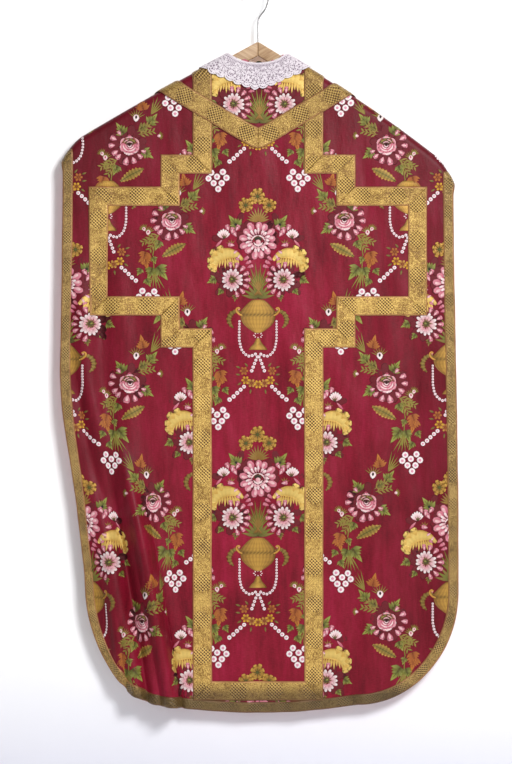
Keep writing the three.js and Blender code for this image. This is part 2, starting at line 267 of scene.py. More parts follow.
# Each layer's outer face, and its thickness, measured outwards from the lining's inner face.
LINING, CANVAS, SILK = (0.6, 0.6), (1.5, 0.7), (3.1, 0.8)
BRAID_UNDER, UPPER_UNDER = 3.9, 5.2


def smooth(t):
    t = np.clip(t, 0, 1)
    return t * t * (3 - 2 * t)


def crest(across):
    """The height of the lining over the hanger."""
    across = np.asarray(across, float)
    a = np.abs(across)
    end = np.maximum(0, (a - TIP_START) / TIP_LENGTH)
    drop = TIP_DROP * np.minimum(end, 1.6) ** 2
    return CREST_Z - np.where(across < 0, *SLOPES) * a - np.where(across < 0, *CURVES) * a * a - drop


def shoulder_line(across):
    return crest(across) - ROUND


def seam_line(across):
    return shoulder_line(across) + math.pi * ROUND


def back_half(height):
    return BACK_HALF + BACK_FLARE * smooth((FLARE_TOP - np.asarray(height, float)) / FLARE_TALL)


def front_half(height):
    """Narrowest at the chest, and wider towards the shoulders and the skirt."""
    height = np.asarray(height, float)
    above = CHEST_HALF + SHOULDER_FLARE * np.minimum(1, (height - CHEST_Z) / CHEST_TO_SHOULDER) ** 2
    below = CHEST_HALF + SKIRT_FLARE * smooth((CHEST_Z - height) / CHEST_TO_SKIRT)
    return np.where(height > CHEST_Z, above, below)


# %% The folds and the small wrinkles
FOLD_GROWTH, CREASE_GROWTH = 330.0, 160.0  # how far below its top a fold is full
FOLDS = [  # where a ridge starts, where it meets the hem, its width and how far it stands out
    ((-262, -700), (-165, -1220), 32, 32),
    ((-318, -800), (-238, -1220), 30, 26),
]
CREASES = [  # sharper pleats and hollows in and above the folds, in the same terms
    ((-290, -640), (-200, -1230), 12, 6), ((-245, -800), (-150, -1235), 10, 5),
    ((-275, -760), (-182, -1225), 12, -6), ((-232, -880), (-138, -1230), 12, -5),
    ((-322, -560), (-260, -1180), 12, -6), ((-306, -420), (-286, -900), 15, 6),
    ((-272, -380), (-262, -820), 17, -6), ((-238, -450), (-215, -900), 15, 4),
    ((-60, -640), (-30, -1100), 16, 1.6), ((40, -300), (64, -900), 15, 1.8),
    ((215, -600), (190, -1150), 18, 3), ((262, -520), (285, -1100), 20, -3),
    ((-262, -700), (-165, -1220), 8, 3), ((-318, -800), (-238, -1220), 8, 3),
]
HOLLOWS = [((-234, -700), (-136, -1225), 15, -9), ((-290, -790), (-211, -1222), 14, -9)]
HOLLOW_NEEDS = 14.0  # a hollow is full only where the folds stand out this far


def ridges(across, height, folds, growth):
    """How far a set of slanting ridges stands out, each growing from its top towards the hem."""
    out = 0
    for (top_x, top_z), (hem_x, hem_z), width, stand in folds:
        along = (height - top_z) / (hem_z - top_z)
        t = (across - top_x - along * (hem_x - top_x)) / width
        out = out + stand * smooth((top_z - height) / growth) * np.exp(-t * t)
    return out


def creased(across, height, folded):
    room = np.clip(folded / HOLLOW_NEEDS, 0, 1)
    hollow = ridges(across, height, HOLLOWS, CREASE_GROWTH)
    return ridges(across, height, CREASES, CREASE_GROWTH) + room * hollow


RIPPLES = [  # length of a wrinkle across, its slant, how far it stands out, and its place
    (86, 0.10, 0.8, 0.3), (53, -0.16, 0.55, 1.9), (37, 0.22, 0.35, 4.1), (131, -0.05, 1.1, 2.2),
    (24, 0.06, 0.16, 0.7), (64, 0.55, 0.4, 5.0), (45, -0.7, 0.3, 3.3),
]


def ripple_out(across, height):
    out = 0
    for length, slant, stand, place in RIPPLES:
        phase = 2 * math.pi * (across + slant * height) / length + place
        fade = 0.6 + 0.4 * np.sin(height / 97 + 3 * place) * np.cos(across / 71 + place)
        out = out + stand * fade * np.sin(phase + 0.8 * np.sin(height / 140 + place))
    return out * smooth((shoulder_line(across) - height) / 110)


# %% The table of hung points
LATTICE = 4.0
ACROSS = np.arange(-356, 356 + LATTICE, LATTICE)
HEIGHTS = np.arange(-1264, -60, LATTICE)
DRAWN_IN, DRAWN_TOP, DRAWN_FROM = 0.135, -650, 130  # the lower left edge, drawn in by this share
grid_s, grid_h = np.meshgrid(ACROSS, HEIGHTS)

folded = ridges(grid_s, grid_h, FOLDS, FOLD_GROWTH)
steep = np.clip(np.abs(np.gradient(folded, LATTICE, axis=1)), 0, 0.95)
gathered = DRAWN_IN * smooth((DRAWN_TOP - grid_h) / 260) * smooth((-grid_s - DRAWN_FROM) / 30)
used = np.cumsum(np.sqrt(1 - steep**2) * (1 - gathered), axis=1) * LATTICE
hung_x = used - used[:, [len(ACROSS) // 2]]
stands_out = ROUND + folded + ripple_out(grid_s, grid_h) + creased(grid_s, grid_h, folded)
line = shoulder_line(grid_s)
turned = math.pi / 2 - np.clip((grid_h - line) / ROUND, 0, math.pi * 1.1)
below = grid_h <= line
hung = np.stack(
    [
        np.where(below, hung_x, grid_s),
        -np.where(below, stands_out, ROUND * np.sin(turned)),
        np.where(below, grid_h, line + ROUND * np.cos(turned)),
    ],
    axis=-1,
)


def outward(points):
    """Each point's outward direction, from its neighbours in the table."""
    across = np.gradient(points, axis=1)
    up = np.gradient(points, axis=0)
    normal = np.cross(across, up)
    return normal / np.maximum(np.linalg.norm(normal, axis=-1, keepdims=True), 1e-9)


hung_out = outward(hung)


def read_table(table, across, height):
    column = np.clip((across - ACROSS[0]) / LATTICE, 0, len(ACROSS) - 1.001)
    row = np.clip((height - HEIGHTS[0]) / LATTICE, 0, len(HEIGHTS) - 1.001)
    c, r = column.astype(int), row.astype(int)
    fc, fr = (column - c)[..., None], (row - r)[..., None]
    low = table[r, c] * (1 - fc) + table[r, c + 1] * fc
    high = table[r + 1, c] * (1 - fc) + table[r + 1, c + 1] * fc
    return low * (1 - fr) + high * fr


def on_back(across, height, depth):
    across, height, depth = np.broadcast_arrays(*(np.asarray(v, float) for v in (across, height, depth)))
    place = read_table(hung, across, height) + read_table(hung_out, across, height) * depth[..., None]
    return place * MM


FRONT_GAP = 0.3


def on_front(across, height, depth):
    """The front hangs straight down from the seam, facing the other way."""
    across, height, depth = np.broadcast_arrays(*(np.asarray(v, float) for v in (across, height, depth)))
    stand = ROUND + FRONT_GAP + depth + 0.5 * ripple_out(-across, height)
    return np.stack([across, stand, height], axis=-1) * MM


print("table of hung points", hung.shape, "deepest fold", round(float(folded.max()), 1), "mm")


# %% Where each pattern piece of the back and of the front lies
def rim_of(half, top, hem_z, corner, steps):
    """A flat edge from the left seam, round the hem, to the right seam."""
    start, rise, hem_rise = corner
    centre = hem_z + hem_rise + rise
    heights = np.linspace(top, centre, steps)
    side = np.stack([half(heights), heights], axis=1)
    turn = np.linspace(0, math.pi / 2, steps // 2)[1:]
    wide = float(half(centre)) - start
    bend = np.stack([start + wide * np.cos(turn), centre - rise * np.sin(turn)], axis=1)
    x = np.linspace(start, 0, steps // 3)[1:]
    hem = np.stack([x, hem_z + hem_rise * (x / start) ** 2], axis=1)
    right = np.concatenate([side, bend, hem])
    return np.concatenate([right[:-1] * [-1, 1], right[::-1]])


def back_rim(steps=64):
    return rim_of(back_half, float(seam_line(-330.0)), HEM_Z, BACK_CORNER, steps)


def front_rim(steps=64):
    return rim_of(front_half, FRONT_TOP, FRONT_HEM, FRONT_CORNER, steps)


def width_at(rim, height):
    """Half of the garment's width at each height, from the right half of its rim."""
    half = rim[len(rim) // 2 :]
    order = np.argsort(half[:, 1])
    return np.interp(height, half[order, 1], half[order, 0], left=-1)


BACK_RIM, FRONT_RIM = back_rim(), front_rim()


def in_back(s, h, inset=0.0):
    wide = width_at(BACK_RIM, h - inset) - inset
    neck = (np.abs(s) < NECK_HALF + 3) & (h > NECK_LOW - 3 + 16 * (s / NECK_HALF) ** 2)
    return (np.abs(s) < wide) & (h < seam_line(s)) & ~neck


def neck_front_line(s):
    return NECK_FRONT + (NECK_HIGH - NECK_FRONT) * np.abs(s / NECK_HALF) ** 1.3


def in_front(s, h, inset=0.0):
    wide = width_at(FRONT_RIM, h - inset) - inset
    neck = (np.abs(s) < NECK_HALF) & (h > neck_front_line(s) - 2)
    return (np.abs(s) < wide) & (h < shoulder_line(s) - 0.4) & ~neck


def in_cross(s, h, inset=SEAM):
    a = np.abs(s)
    step = (a < STEP - inset) & (h < STEP_TOP - inset) & (h > STEP_LOW + inset)
    arm = (a < ARM - inset) & (h < ARM_TOP - inset) & (h > ARM_LOW + inset)
    return (a < COLUMN - inset) | step | arm


def over_vee(s, h, rise=SEAM):
    return h > VEE_POINT + rise + VEE_SLOPE * np.abs(s)


def bare(side, s, h):
    """Where no braid lies over the silk."""
    if side == "front":
        pillar = (np.abs(s) < COLUMN - BRAID) | (np.abs(s) > COLUMN)
        return in_front(s, h, EDGE_BRAID) & pillar & (h < shoulder_line(s) - EDGE_BRAID - 2)
    cross = in_cross(s, h, BRAID) & (h > FOOT + BRAID) | ~in_cross(s, h, 0)
    vee = over_vee(s, h, BRAID * math.hypot(1, VEE_SLOPE)) | ~over_vee(s, h, 0)
    return in_back(s, h, EDGE_BRAID) & cross & vee


PIECES = {
    "back": {
        "back_silk_neck": lambda s, h: over_vee(s, h),
        "back_silk_cross": lambda s, h: ~over_vee(s, h) & in_cross(s, h),
        "back_silk_left": lambda s, h: ~over_vee(s, h) & ~in_cross(s, h) & (s < 0),
        "back_silk_right": lambda s, h: ~over_vee(s, h) & ~in_cross(s, h) & (s > 0),
    },
    "front": {
        "front_silk_pillar": lambda s, h: np.abs(s) < COLUMN - SEAM,
        "front_silk_left": lambda s, h: (np.abs(s) >= COLUMN - SEAM) & (s < 0),
        "front_silk_right": lambda s, h: (np.abs(s) >= COLUMN - SEAM) & (s > 0),
    },
}
SIDES = {"back": (in_back, BACK_RIM, on_back), "front": (in_front, FRONT_RIM, on_front)}


def on_piece(side, test, inset=0.0):
    """Inside a pattern piece, and inside that side's edge by the inset."""
    return lambda s, h: SIDES[side][0](s, h, inset) & test(s, h)


print("pattern pieces", [name for pieces in PIECES.values() for name in pieces])

# %% [markdown]
# ## Finishes of the cloth
# The silk is crimson with a violet cast, ribbed across, and creased from wear. Galloon is woven from gilt
# thread: patches of open lattice change places with patches of smooth scrolls, between two plain
# borders. All of it is drawn from sines and noise in the cloth's own flat measure, so the pattern runs
# along each braid and turns with it at a mitre.

# %% Silk
silk = Finish("crimson silk", roughness=0.48, sheen_weight=0.02, sheen_roughness=0.4, specular_ior_level=0.18)
flat = silk.cloth_place()
broad = silk.noise(flat, 7.0, 4.0, 0.55)
streak = silk.noise(silk.cloth_place(stretch=(60, 9, 1)), 1.6, 4.0, 0.6)
ribs = silk.noise(silk.cloth_place(stretch=(140, 900, 1)), 1.0, 2.0, 0.5)
tone = silk.sum_of((broad, 0.45), (streak, 0.3), (ribs, 0.25))
crimson = silk.ramp(tone, (0.34, linear(86, 5, 20)), (0.5, linear(126, 14, 37)), (0.66, linear(152, 24, 58)))
# painted shade: the silk is darker towards the sides and the shoulders
silk.colour(silk.painted_shade(crimson, linear(66, 2, 8), 0.55, 0.5, 0.0))
crease = silk.noise(silk.cloth_place(stretch=(17, 6, 1)), 1.0, 5.0, 0.6)
silk.bump(silk.sum_of((crease, 1.0), (ribs, 0.05)), 0.55, 0.006)


# %% Galloon, measured in millimetres as it is woven
GALLOON_REPEAT, GALLOON_CELL = 62.0, 5.7  # how often the lattice comes back, and the size of its meshes
EDGING_REPEAT, EDGING_CELL = 50.0, 5.0
PLAIN_BORDER = 2.4


def woven_gold(name, width, repeat, cell, dark, middle, bright):
    """A gilt braid of that width, with lattice and scrolls taking turns along its length."""
    braid = Finish(name, roughness=0.42, metallic=0.3)
    maths = braid.maths
    flat = braid.cloth_place()
    parts = braid.add("SeparateXYZ", Vector=flat)
    along, across = parts.outputs["X"], parts.outputs["Y"]
    half = width * MM / 2
    edge = maths("DIVIDE", maths("ABSOLUTE", maths("SUBTRACT", across, half)), half)
    turns = maths("MULTIPLY", along, 2 * math.pi / (repeat * MM))
    wander = braid.noise(flat, 70.0, 2.0)
    zone = braid.sum_of((maths("COSINE", turns), 1.0), (edge, -0.75), (wander, 1.1))
    zone = maths("GREATER_THAN", zone, 0.55)

    def diagonal(sign):
        slant = maths("ADD", along, maths("MULTIPLY", across, sign))
        return maths("ABSOLUTE", maths("SINE", maths("MULTIPLY", slant, math.pi / (cell * MM))))

    lattice = maths("MULTIPLY", diagonal(1.0), diagonal(-1.0))
    lattice = maths("SUBTRACT", 1.0, maths("MULTIPLY", lattice, 1.25))
    scroll_noise = braid.noise(braid.cloth_place(stretch=(1, 1.5, 1)), 150.0, 2.0, 0.6)
    scroll_wave = maths("SINE", maths("MULTIPLY", scroll_noise, 34.0))
    scroll = maths("ADD", maths("MULTIPLY", scroll_wave, 0.26), 0.55)
    pattern = braid.add("Mix", {"data_type": "FLOAT"}, i0=zone, i2=scroll, i3=lattice).outputs[0]
    plain = maths("GREATER_THAN", edge, 1 - PLAIN_BORDER * MM / half)
    grain = braid.noise(flat, 700.0, 3.0, 0.75)
    pattern = braid.add("Mix", {"data_type": "FLOAT"}, i0=plain, i2=pattern, i3=0.5).outputs[0]
    height = braid.sum_of((pattern, 1.0), (grain, 0.5))
    shimmer = braid.noise(flat, 34.0, 4.0, 0.65)
    tone = maths("SUBTRACT", braid.sum_of((height, 0.62), (shimmer, 0.95)), 0.2)
    gold = braid.ramp(tone, (0.34, dark), (0.64, middle), (0.92, bright))
    tarnish = maths("MULTIPLY", braid.noise(braid.object_place(), 11.0, 4.0, 0.6), 0.55)
    gold = braid.mix(tarnish, gold, braid.mix(0.5, gold, dark))
    selvedge = braid.mix(grain, linear(150, 96, 60), linear(196, 136, 92))
    gold = braid.mix(maths("MULTIPLY", plain, 0.6), gold, selvedge)
    # painted shade: the gold is darker towards the sides, the shoulders and the foot
    braid.colour(braid.painted_shade(gold, dark, 0.26, 0.45, 0.72))
    braid.bump(height, 0.7, 0.0009)
    return braid.material


galloon = woven_gold(
    "gold galloon", BRAID, GALLOON_REPEAT, GALLOON_CELL,
    linear(62, 38, 10), linear(154, 112, 44), linear(230, 190, 102),
)
edging = woven_gold(
    "edge braid", EDGE_BRAID, EDGING_REPEAT, EDGING_CELL,
    linear(58, 42, 16), linear(136, 102, 48), linear(200, 164, 94),
)


# %% Dyed silk and gilt thread of the brocade, lining, canvas, tape and lace
def thread_finish(name, roughness, metallic):
    """Thread whose colour is the dye painted on each patch, with the fine lines of the weave."""
    thread = Finish(name, roughness=roughness, metallic=metallic, specular_ior_level=0.3)
    dye = thread.add("VertexColor", {"layer_name": "dye"}).outputs["Color"]
    lines = thread.noise(thread.object_place(), 1400.0, 2.0, 0.6)
    uneven = thread.noise(thread.object_place(), 260.0, 3.0, 0.6)
    share = thread.maths("MULTIPLY", thread.maths("ADD", lines, uneven), 0.34)
    thread.colour(thread.mix(share, dye, thread.mix(0.55, dye, BLACK)))
    thread.bump(lines, 0.5, 0.0005)
    return thread.material


floss = thread_finish("silk floss", 0.6, 0.0)
gilt = thread_finish("gilt thread", 0.45, 0.25)


def plain_cloth(name, colour, shade, weave):
    cloth = Finish(name, roughness=0.85, sheen_weight=0.1)
    place = cloth.object_place()
    fine = cloth.noise(place, weave, 2.0, 0.7)
    broad = cloth.noise(place, 9.0, 3.0)
    tone = cloth.sum_of((fine, 0.6), (broad, 0.4))
    cloth.colour(cloth.ramp(tone, (0.3, shade), (0.7, colour)))
    cloth.bump(fine, 0.35, 0.0006)
    return cloth.material


lining_cotton = plain_cloth("lining cotton", linear(184, 82, 88), linear(150, 58, 66), 700.0)
canvas_linen = plain_cloth("interlining canvas", linear(214, 198, 168), linear(186, 168, 136), 480.0)
tape_linen = plain_cloth("linen tape", linear(238, 232, 218), linear(214, 206, 190), 800.0)
lace_cotton = plain_cloth("lace cotton", linear(234, 226, 230), linear(196, 184, 194), 1200.0)
# painted shade: the muslin under the lace is a lilac grey, for the shade between the lace threads
muslin_painted_shade = plain_cloth("muslin painted shade", linear(146, 130, 142), linear(108, 92, 108), 420.0)

# %% [markdown]
# ## Cutting and hanging the cloth
# A pattern piece is a fine flat lattice with the squares outside its line cut away, as with shears. Its
# raw edge is then eased onto the true line, and each point is hung by reading the table. The Solidify
# modifier gives the cloth its thickness, inwards, so that the outer face stays where it was hung.


# %% Make one mesh from points, faces and their flat measure
def new_piece(name, points, faces, material, flat=None, dye=None):
    mesh = bpy.data.meshes.new(name)
    mesh.from_pydata(np.asarray(points).tolist(), [], [list(f) for f in faces])
    mesh.materials.append(material)
    if flat is not None:
        layer = mesh.uv_layers.new(name="UVMap")
        corner = np.empty(len(mesh.loops), np.int32)
        mesh.loops.foreach_get("vertex_index", corner)
        layer.data.foreach_set("uv", (np.asarray(flat, np.float32)[corner] * MM).ravel())
    if dye is not None:
        solid = np.concatenate([dye, np.ones((len(dye), 1))], axis=1)
        dye_layer = mesh.color_attributes.new("dye", "FLOAT_COLOR", "POINT")
        dye_layer.data.foreach_set("color", solid.astype(np.float32).ravel())
    mesh.polygons.foreach_set("use_smooth", np.ones(len(mesh.polygons), bool))
    made = bpy.data.objects.new(name, mesh)
    bpy.context.collection.objects.link(made)
    return made


def choose(piece):
    """Selects this piece alone."""
    bpy.ops.object.select_all(action="DESELECT")
    piece.select_set(True)
    bpy.context.view_layer.objects.active = piece


def apply_modifier(piece, kind, **settings):
    choose(piece)
    modifier = piece.modifiers.new(kind.lower(), kind)
    for key, value in settings.items():
        setattr(modifier, key, value)
    bpy.ops.object.modifier_apply(modifier=modifier.name)


def nearest_on(path, points):
    """For each point, the nearest place on a path, and how far away that is."""
    start, step = path[:-1], np.diff(path, axis=0)
    share = ((points[:, None] - start) * step).sum(-1) / np.maximum((step**2).sum(-1), 1e-9)
    places = start + np.clip(share, 0, 1)[..., None] * step
    away = np.linalg.norm(places - points[:, None], axis=-1)
    best = away.argmin(1)
    rows = np.arange(len(points))
    return places[rows, best], away[rows, best]


CLOTH_WIDE, CLOTH_LOW, CLOTH_HIGH = 352, -1256, -64  # the uncut cloth, larger than any piece


def cut_and_hang(name, inside, rim, hang, layer, material, lattice):
    """Cuts a pattern piece from flat cloth and hangs it. Returns it with its flat area and size."""
    outer, thick = layer
    s = np.arange(-CLOTH_WIDE, CLOTH_WIDE + lattice, lattice)
    h = np.arange(CLOTH_LOW, CLOTH_HIGH, lattice)
    keep = inside(*np.meshgrid((s[1:] + s[:-1]) / 2, (h[1:] + h[:-1]) / 2))
    row, column = np.nonzero(keep)
    wide = len(s)
    first = row * wide + column
    squares = np.stack([first, first + 1, first + wide + 1, first + wide], axis=1)
    if hang is on_front:
        squares = squares[:, ::-1]
    used, squares = np.unique(squares, return_inverse=True)
    squares = squares.reshape(-1, 4)
    flat = np.stack([s[used % wide], h[used // wide]], axis=1)
    edges = np.sort(np.concatenate([squares[:, [i, (i + 1) % 4]] for i in range(4)]), axis=1)
    edges, times = np.unique(edges, axis=0, return_counts=True)
    raw = np.unique(edges[times == 1])
    place, away = nearest_on(rim, flat[raw])
    near = away < lattice * 1.3
    flat[raw[near]] = place[near]
    made = new_piece(name, hang(flat[:, 0], flat[:, 1], outer), squares, material, flat)
    apply_modifier(made, "SOLIDIFY", thickness=thick * MM, offset=-1, use_even_offset=False)
    area = len(squares) * (lattice * MM) ** 2
    size = np.ptp(flat, axis=0) * MM
    return made, area, size


# %% Lining, canvas and silk
SEWN_ON = {
    "back_silk_cross": ("cross_galloon_left", "cross_galloon_right", "cross_galloon_foot"),
    "back_silk_neck": ("vee_galloon_left", "vee_galloon_right"),
    "back_lining": ("back_edging",),
    "front_lining": (
        "front_edging", "shoulder_edging_left", "shoulder_edging_right",
        "neck_edging_left", "neck_edging_right",
    ),
    "front_silk_pillar": ("pillar_galloon_left", "pillar_galloon_right", "pillar_galloon_foot"),
}
sheets = []


def cloth_for(node, side, inside, layer, material, lattice=4.0):
    """The cloth that stands for that node. Its flat area and size are kept in the list of sheets, with what
    is sewn to it.
    """
    _, rim, hang = SIDES[side]
    piece, area, size = cut_and_hang(node + "_cloth", inside, rim, hang, layer, material, lattice)
    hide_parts(node)
    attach(piece, "garment")
    sheets.append((piece, area, size, SEWN_ON.get(node, ())))
    print(piece.name, "flat area", round(area, 3), "m2")
    return piece


for side, (inside, _, _) in SIDES.items():
    cloth_for(side + "_lining", side, inside, LINING, lining_cotton, lattice=6.0)
    cloth_for(side + "_interlining", side, inside, CANVAS, canvas_linen, lattice=6.0)
for side, pieces in PIECES.items():
    for name, test in pieces.items():
        cloth_for(name, side, on_piece(side, test), SILK, silk.material)

# %% [markdown]
# ## Brocade
# The flowers are extra wefts of floss and gilt thread that lie on the silk like thin pads, each a petal, a
# leaf or a pearl. Each kind of pad is modelled once, from a circle that is pushed into shape, raised,
# drawn in at its rim and domed. Longer leaves and the vase are woven as blades: a strip that follows a
# bent middle line. The two motifs are composed in the flat from these, and then repeated over the cloth
# in the half-drop of the real weave, keeping the patches whose middle lies on that pattern piece.


# %% One pad of thread, as an outline that is raised and domed
def raised_pad(outline):
    bpy.ops.object.select_all(action="DESELECT")
    bpy.ops.mesh.primitive_circle_add(vertices=len(outline), radius=1, fill_type="NGON")
    pad = bpy.context.object
    for vertex in pad.data.vertices:
        turn = math.atan2(vertex.co.y, vertex.co.x) / (2 * math.pi)
        vertex.co = (*outline[round(turn * len(outline)) % len(outline)], 0)
    bpy.ops.object.mode_set(mode="EDIT")
    bpy.ops.mesh.select_all(action="SELECT")
    bpy.ops.mesh.extrude_region_move(TRANSFORM_OT_translate={"value": (0, 0, 0.6)})
    bpy.ops.mesh.inset(thickness=0.07, depth=0.25)
    bpy.ops.mesh.poke(offset=0.15)
    bpy.ops.mesh.select_all(action="SELECT")
    bpy.ops.mesh.quads_convert_to_tris()
    bpy.ops.mesh.normals_make_consistent(inside=False)
    bpy.ops.object.mode_set(mode="OBJECT")
    points = np.array([v.co for v in pad.data.vertices])
    faces = np.array([p.vertices for p in pad.data.polygons])
    mesh = pad.data
    bpy.data.objects.remove(pad)
    bpy.data.meshes.remove(mesh)
    return points, faces


def mirrored_outline(half):
    """A whole outline from the points of its upper half, which start at the tip and end at the foot."""
    half = np.array(half, float)
    return np.concatenate([half, half[-2:0:-1] * [1, -1]])


PADS = {
    "bead": raised_pad([(0.5 * math.cos(a), 0.5 * math.sin(a)) for a in np.arange(8) * math.pi / 4]),
    "petal": raised_pad(mirrored_outline([(1, 0), (0.9, 0.32), (0.55, 0.5), (0.2, 0.3), (0, 0)])),
    "heart": raised_pad(
        mirrored_outline([(0.88, 0), (1, 0.28), (0.78, 0.5), (0.4, 0.38), (0, 0.08), (-0.02, 0)])
    ),
    "leaf": raised_pad(mirrored_outline([(1, 0), (0.75, 0.28), (0.45, 0.5), (0.15, 0.3), (0, 0)])),
    "bar": raised_pad(mirrored_outline([(1, 0), (0.94, 0.5), (0.5, 0.5), (0.06, 0.5), (0, 0)])),
}
print("pads", {name: len(faces) for name, (points, faces) in PADS.items()}, "triangles")


# %% Lengths, places and lattices in the flat
def lengths_along(path):
    """How far along a path each of its points lies."""
    return np.concatenate([[0], np.cumsum(np.linalg.norm(np.diff(path, axis=0), axis=1))])


def onward(x, y, turn, away):
    """The place that far from x, y towards turn, in degrees."""
    a = math.radians(turn)
    return x + away * math.cos(a), y + away * math.sin(a)


def lattice_parts(rows, columns):
    """The first corner of each square of a lattice of points, and the points round its rim."""
    i, j = (v.ravel() for v in np.meshgrid(np.arange(rows - 1), np.arange(columns - 1), indexing="ij"))
    half_rim = np.concatenate([np.arange(columns - 1), np.arange(columns - 1, rows * columns - 1, columns)])
    return i * columns + j, np.concatenate([half_rim, rows * columns - 1 - half_rim])


# %% A design gathers its patches in the flat: place, rise, dye and fibre
PAINTED_RIM_SHADE = 0.5  # painted shade: how bright a patch's foot and rim are, beside its top


def dyed(colour):
    return np.array(linear(*colour)[:3])


def joined(points, faces, dyes):
    """Many patches' points, faces and dyes as one of each."""
    starts = np.cumsum([0] + [len(p) for p in points[:-1]])
    faces = [f + start for f, start in zip(faces, starts)]
    return np.concatenate(points), np.concatenate(faces), np.concatenate(dyes)


class Design:
    def __init__(self):
        self.patches = []

    def put(
        self, kind, x, y, turn=0.0, long=6.0, wide=None, dye=(255, 255, 255), tip=None, low=0.0, high=0.7,
        fibre="floss",
    ):
        """Lays one pad, its foot at x, y and its tip towards turn, in degrees."""
        points, faces = PADS[kind]
        along, across = points[:, 0] * long, points[:, 1] * (long if wide is None else wide)
        c, s = math.cos(math.radians(turn)), math.sin(math.radians(turn))
        share = np.clip(points[:, :1] + (0.5 if kind == "bead" else 0), 0, 1)
        colour = dyed(dye) * (1 - share) + dyed(tip or dye) * share
        # painted shade along each pad's foot and rim
        colour = colour * np.where(points[:, 2:] < 0.7, PAINTED_RIM_SHADE, 1.0)
        rise = low + high * points[:, 2]
        place = np.stack([x + c * along - s * across, y + s * along + c * across, rise], axis=1)
        self.patches.append((fibre, place, faces, colour))

    def beside(self, side, kind, x, y, turn=0.0, **rest):
        """A pad to the right of the middle line, or its mirror image to the left."""
        self.put(kind, side * x, y, turn if side > 0 else 180 - turn, **rest)

    def both(self, *pad, **rest):
        """The same pad on both sides of the middle line."""
        self.beside(1, *pad, **rest)
        self.beside(-1, *pad, **rest)

    def ring(self, kind, x, y, count, radius, first=0.0, sweep=360.0, squash=1.0, **rest):
        """Pads that point away from a centre, a little uneven where there are many."""
        long = rest.pop("long")
        uneven = count > 6
        for k in range(count):
            turn = first + sweep * k / count + (2.5 * math.sin(3.7 * k + x) if uneven else 0)
            a = math.radians(turn)
            place = (x + radius * math.cos(a), y + squash * radius * math.sin(a))
            reach = long * (1 + (0.12 * math.sin(2.3 * k + y) if uneven else 0))
            self.put(kind, *place, turn, long=reach, **rest)

    def pearls(self, points, size, end=None, gap=1.12):
        """Strings of pearls on both sides, from point to point and from one size to the other."""
        points = np.array(points, float)
        reach = lengths_along(points)
        end, at = end or size, 0.0
        while at <= reach[-1]:
            x, y = np.interp(at, reach, points[:, 0]), np.interp(at, reach, points[:, 1])
            wide = size + (end - size) * at / reach[-1]
            self.pearl(x, y, wide)
            self.pearl(-x, y, wide)
            at += gap * wide

    def pearl(self, x, y, wide):
        self.put("bead", x, y, long=wide, dye=PEARL, tip=PEARL, high=1.0, fibre="pearls")
        self.put("bead", x, y, long=0.42 * wide, dye=PEARL_EYE, low=0.65, high=0.5, fibre="pearls")

    def blade(
        self, middle, widths, dye, edge=None, fibre="gilt", rows=14, columns=6, high=0.8, comb=0.0, veins=0.0,
        stripe=None,
    ):
        """A closed strip along a bent middle line, as wide as widths say, with a toothed edge and veins."""
        middle = np.array(middle, float)
        reach = lengths_along(middle)
        t = np.linspace(0, 1, rows + 1)
        line = np.stack([np.interp(t * reach[-1], reach, middle[:, k]) for k in (0, 1)], axis=1)
        line[1:-1] = (line[:-2] + 2 * line[1:-1] + line[2:]) / 4
        run = np.gradient(line, axis=0)
        run /= np.linalg.norm(run, axis=1, keepdims=True)
        beside = np.stack([-run[:, 1], run[:, 0]], axis=1)
        half = np.interp(t, np.linspace(0, 1, len(widths)), widths)
        side = np.linspace(-1, 1, columns + 1)
        teeth = 1 - comb * (np.arange(rows + 1) % 2)
        reach_out = half[:, None] * side * np.where(np.abs(side) > 0.99, teeth[:, None], 1)
        flat = line[:, None] + beside[:, None] * reach_out[..., None]
        vein = np.abs(np.sin(np.arange(rows + 1) * math.pi / 2))[:, None] * np.ones_like(side)
        rise = high * (0.45 + 0.55 * np.sqrt(np.clip(1 - side**2, 0, 1))) * (1 - 0.35 * veins * vein)
        share = np.broadcast_to(np.abs(side) ** 2, rise.shape)[..., None]
        colour = dyed(dye) * (1 - share) + dyed(edge or dye) * share
        colour = colour * (1 - 0.45 * veins * vein[..., None])
        if stripe is not None:
            colour = stripe(t, side, colour)
        n, m = rise.shape
        top = np.concatenate([flat, rise[..., None]], axis=-1).reshape(-1, 3)
        a, rim = lattice_parts(n, m)
        lid = np.concatenate([np.stack([a, a + m, a + 1], 1), np.stack([a + 1, a + m, a + m + 1], 1)])
        ahead, up = np.roll(rim, -1), n * m
        walls = [np.stack([rim, ahead, rim + up], 1), np.stack([ahead, ahead + up, rim + up], 1)]
        faces = np.concatenate([lid[:, ::-1], lid + up, *walls])
        lie = np.cross(np.append(run[n // 2], 0), np.append(beside[n // 2], 0))[2]
        faces = faces if lie > 0 else faces[:, ::-1]
        colour = colour.reshape(-1, 3)
        points = np.concatenate([top * [1, 1, 0], top])
        # painted shade on each blade's foot
        self.patches.append((fibre, points, faces[:, ::-1], np.concatenate([colour * PAINTED_RIM_SHADE, colour])))

    def both_blades(self, middle, widths, **rest):
        self.blade(middle, widths, **rest)
        self.blade([(-x, y) for x, y in middle], widths, **rest)

    def gathered(self):
        """All patches in one: fibre by patch, and points, faces and dye with the patch that each is in."""
        fibres, points, faces, dyes = zip(*self.patches)
        all_points, all_faces, all_dyes = joined(points, faces, dyes)
        return {
            "fibre": np.array(fibres),
            "points": all_points,
            "faces": all_faces,
            "dye": all_dyes,
            "of_point": np.repeat(np.arange(len(points)), [len(p) for p in points]),
            "middle": np.array([p[:, :2].mean(0) for p in points]),
        }


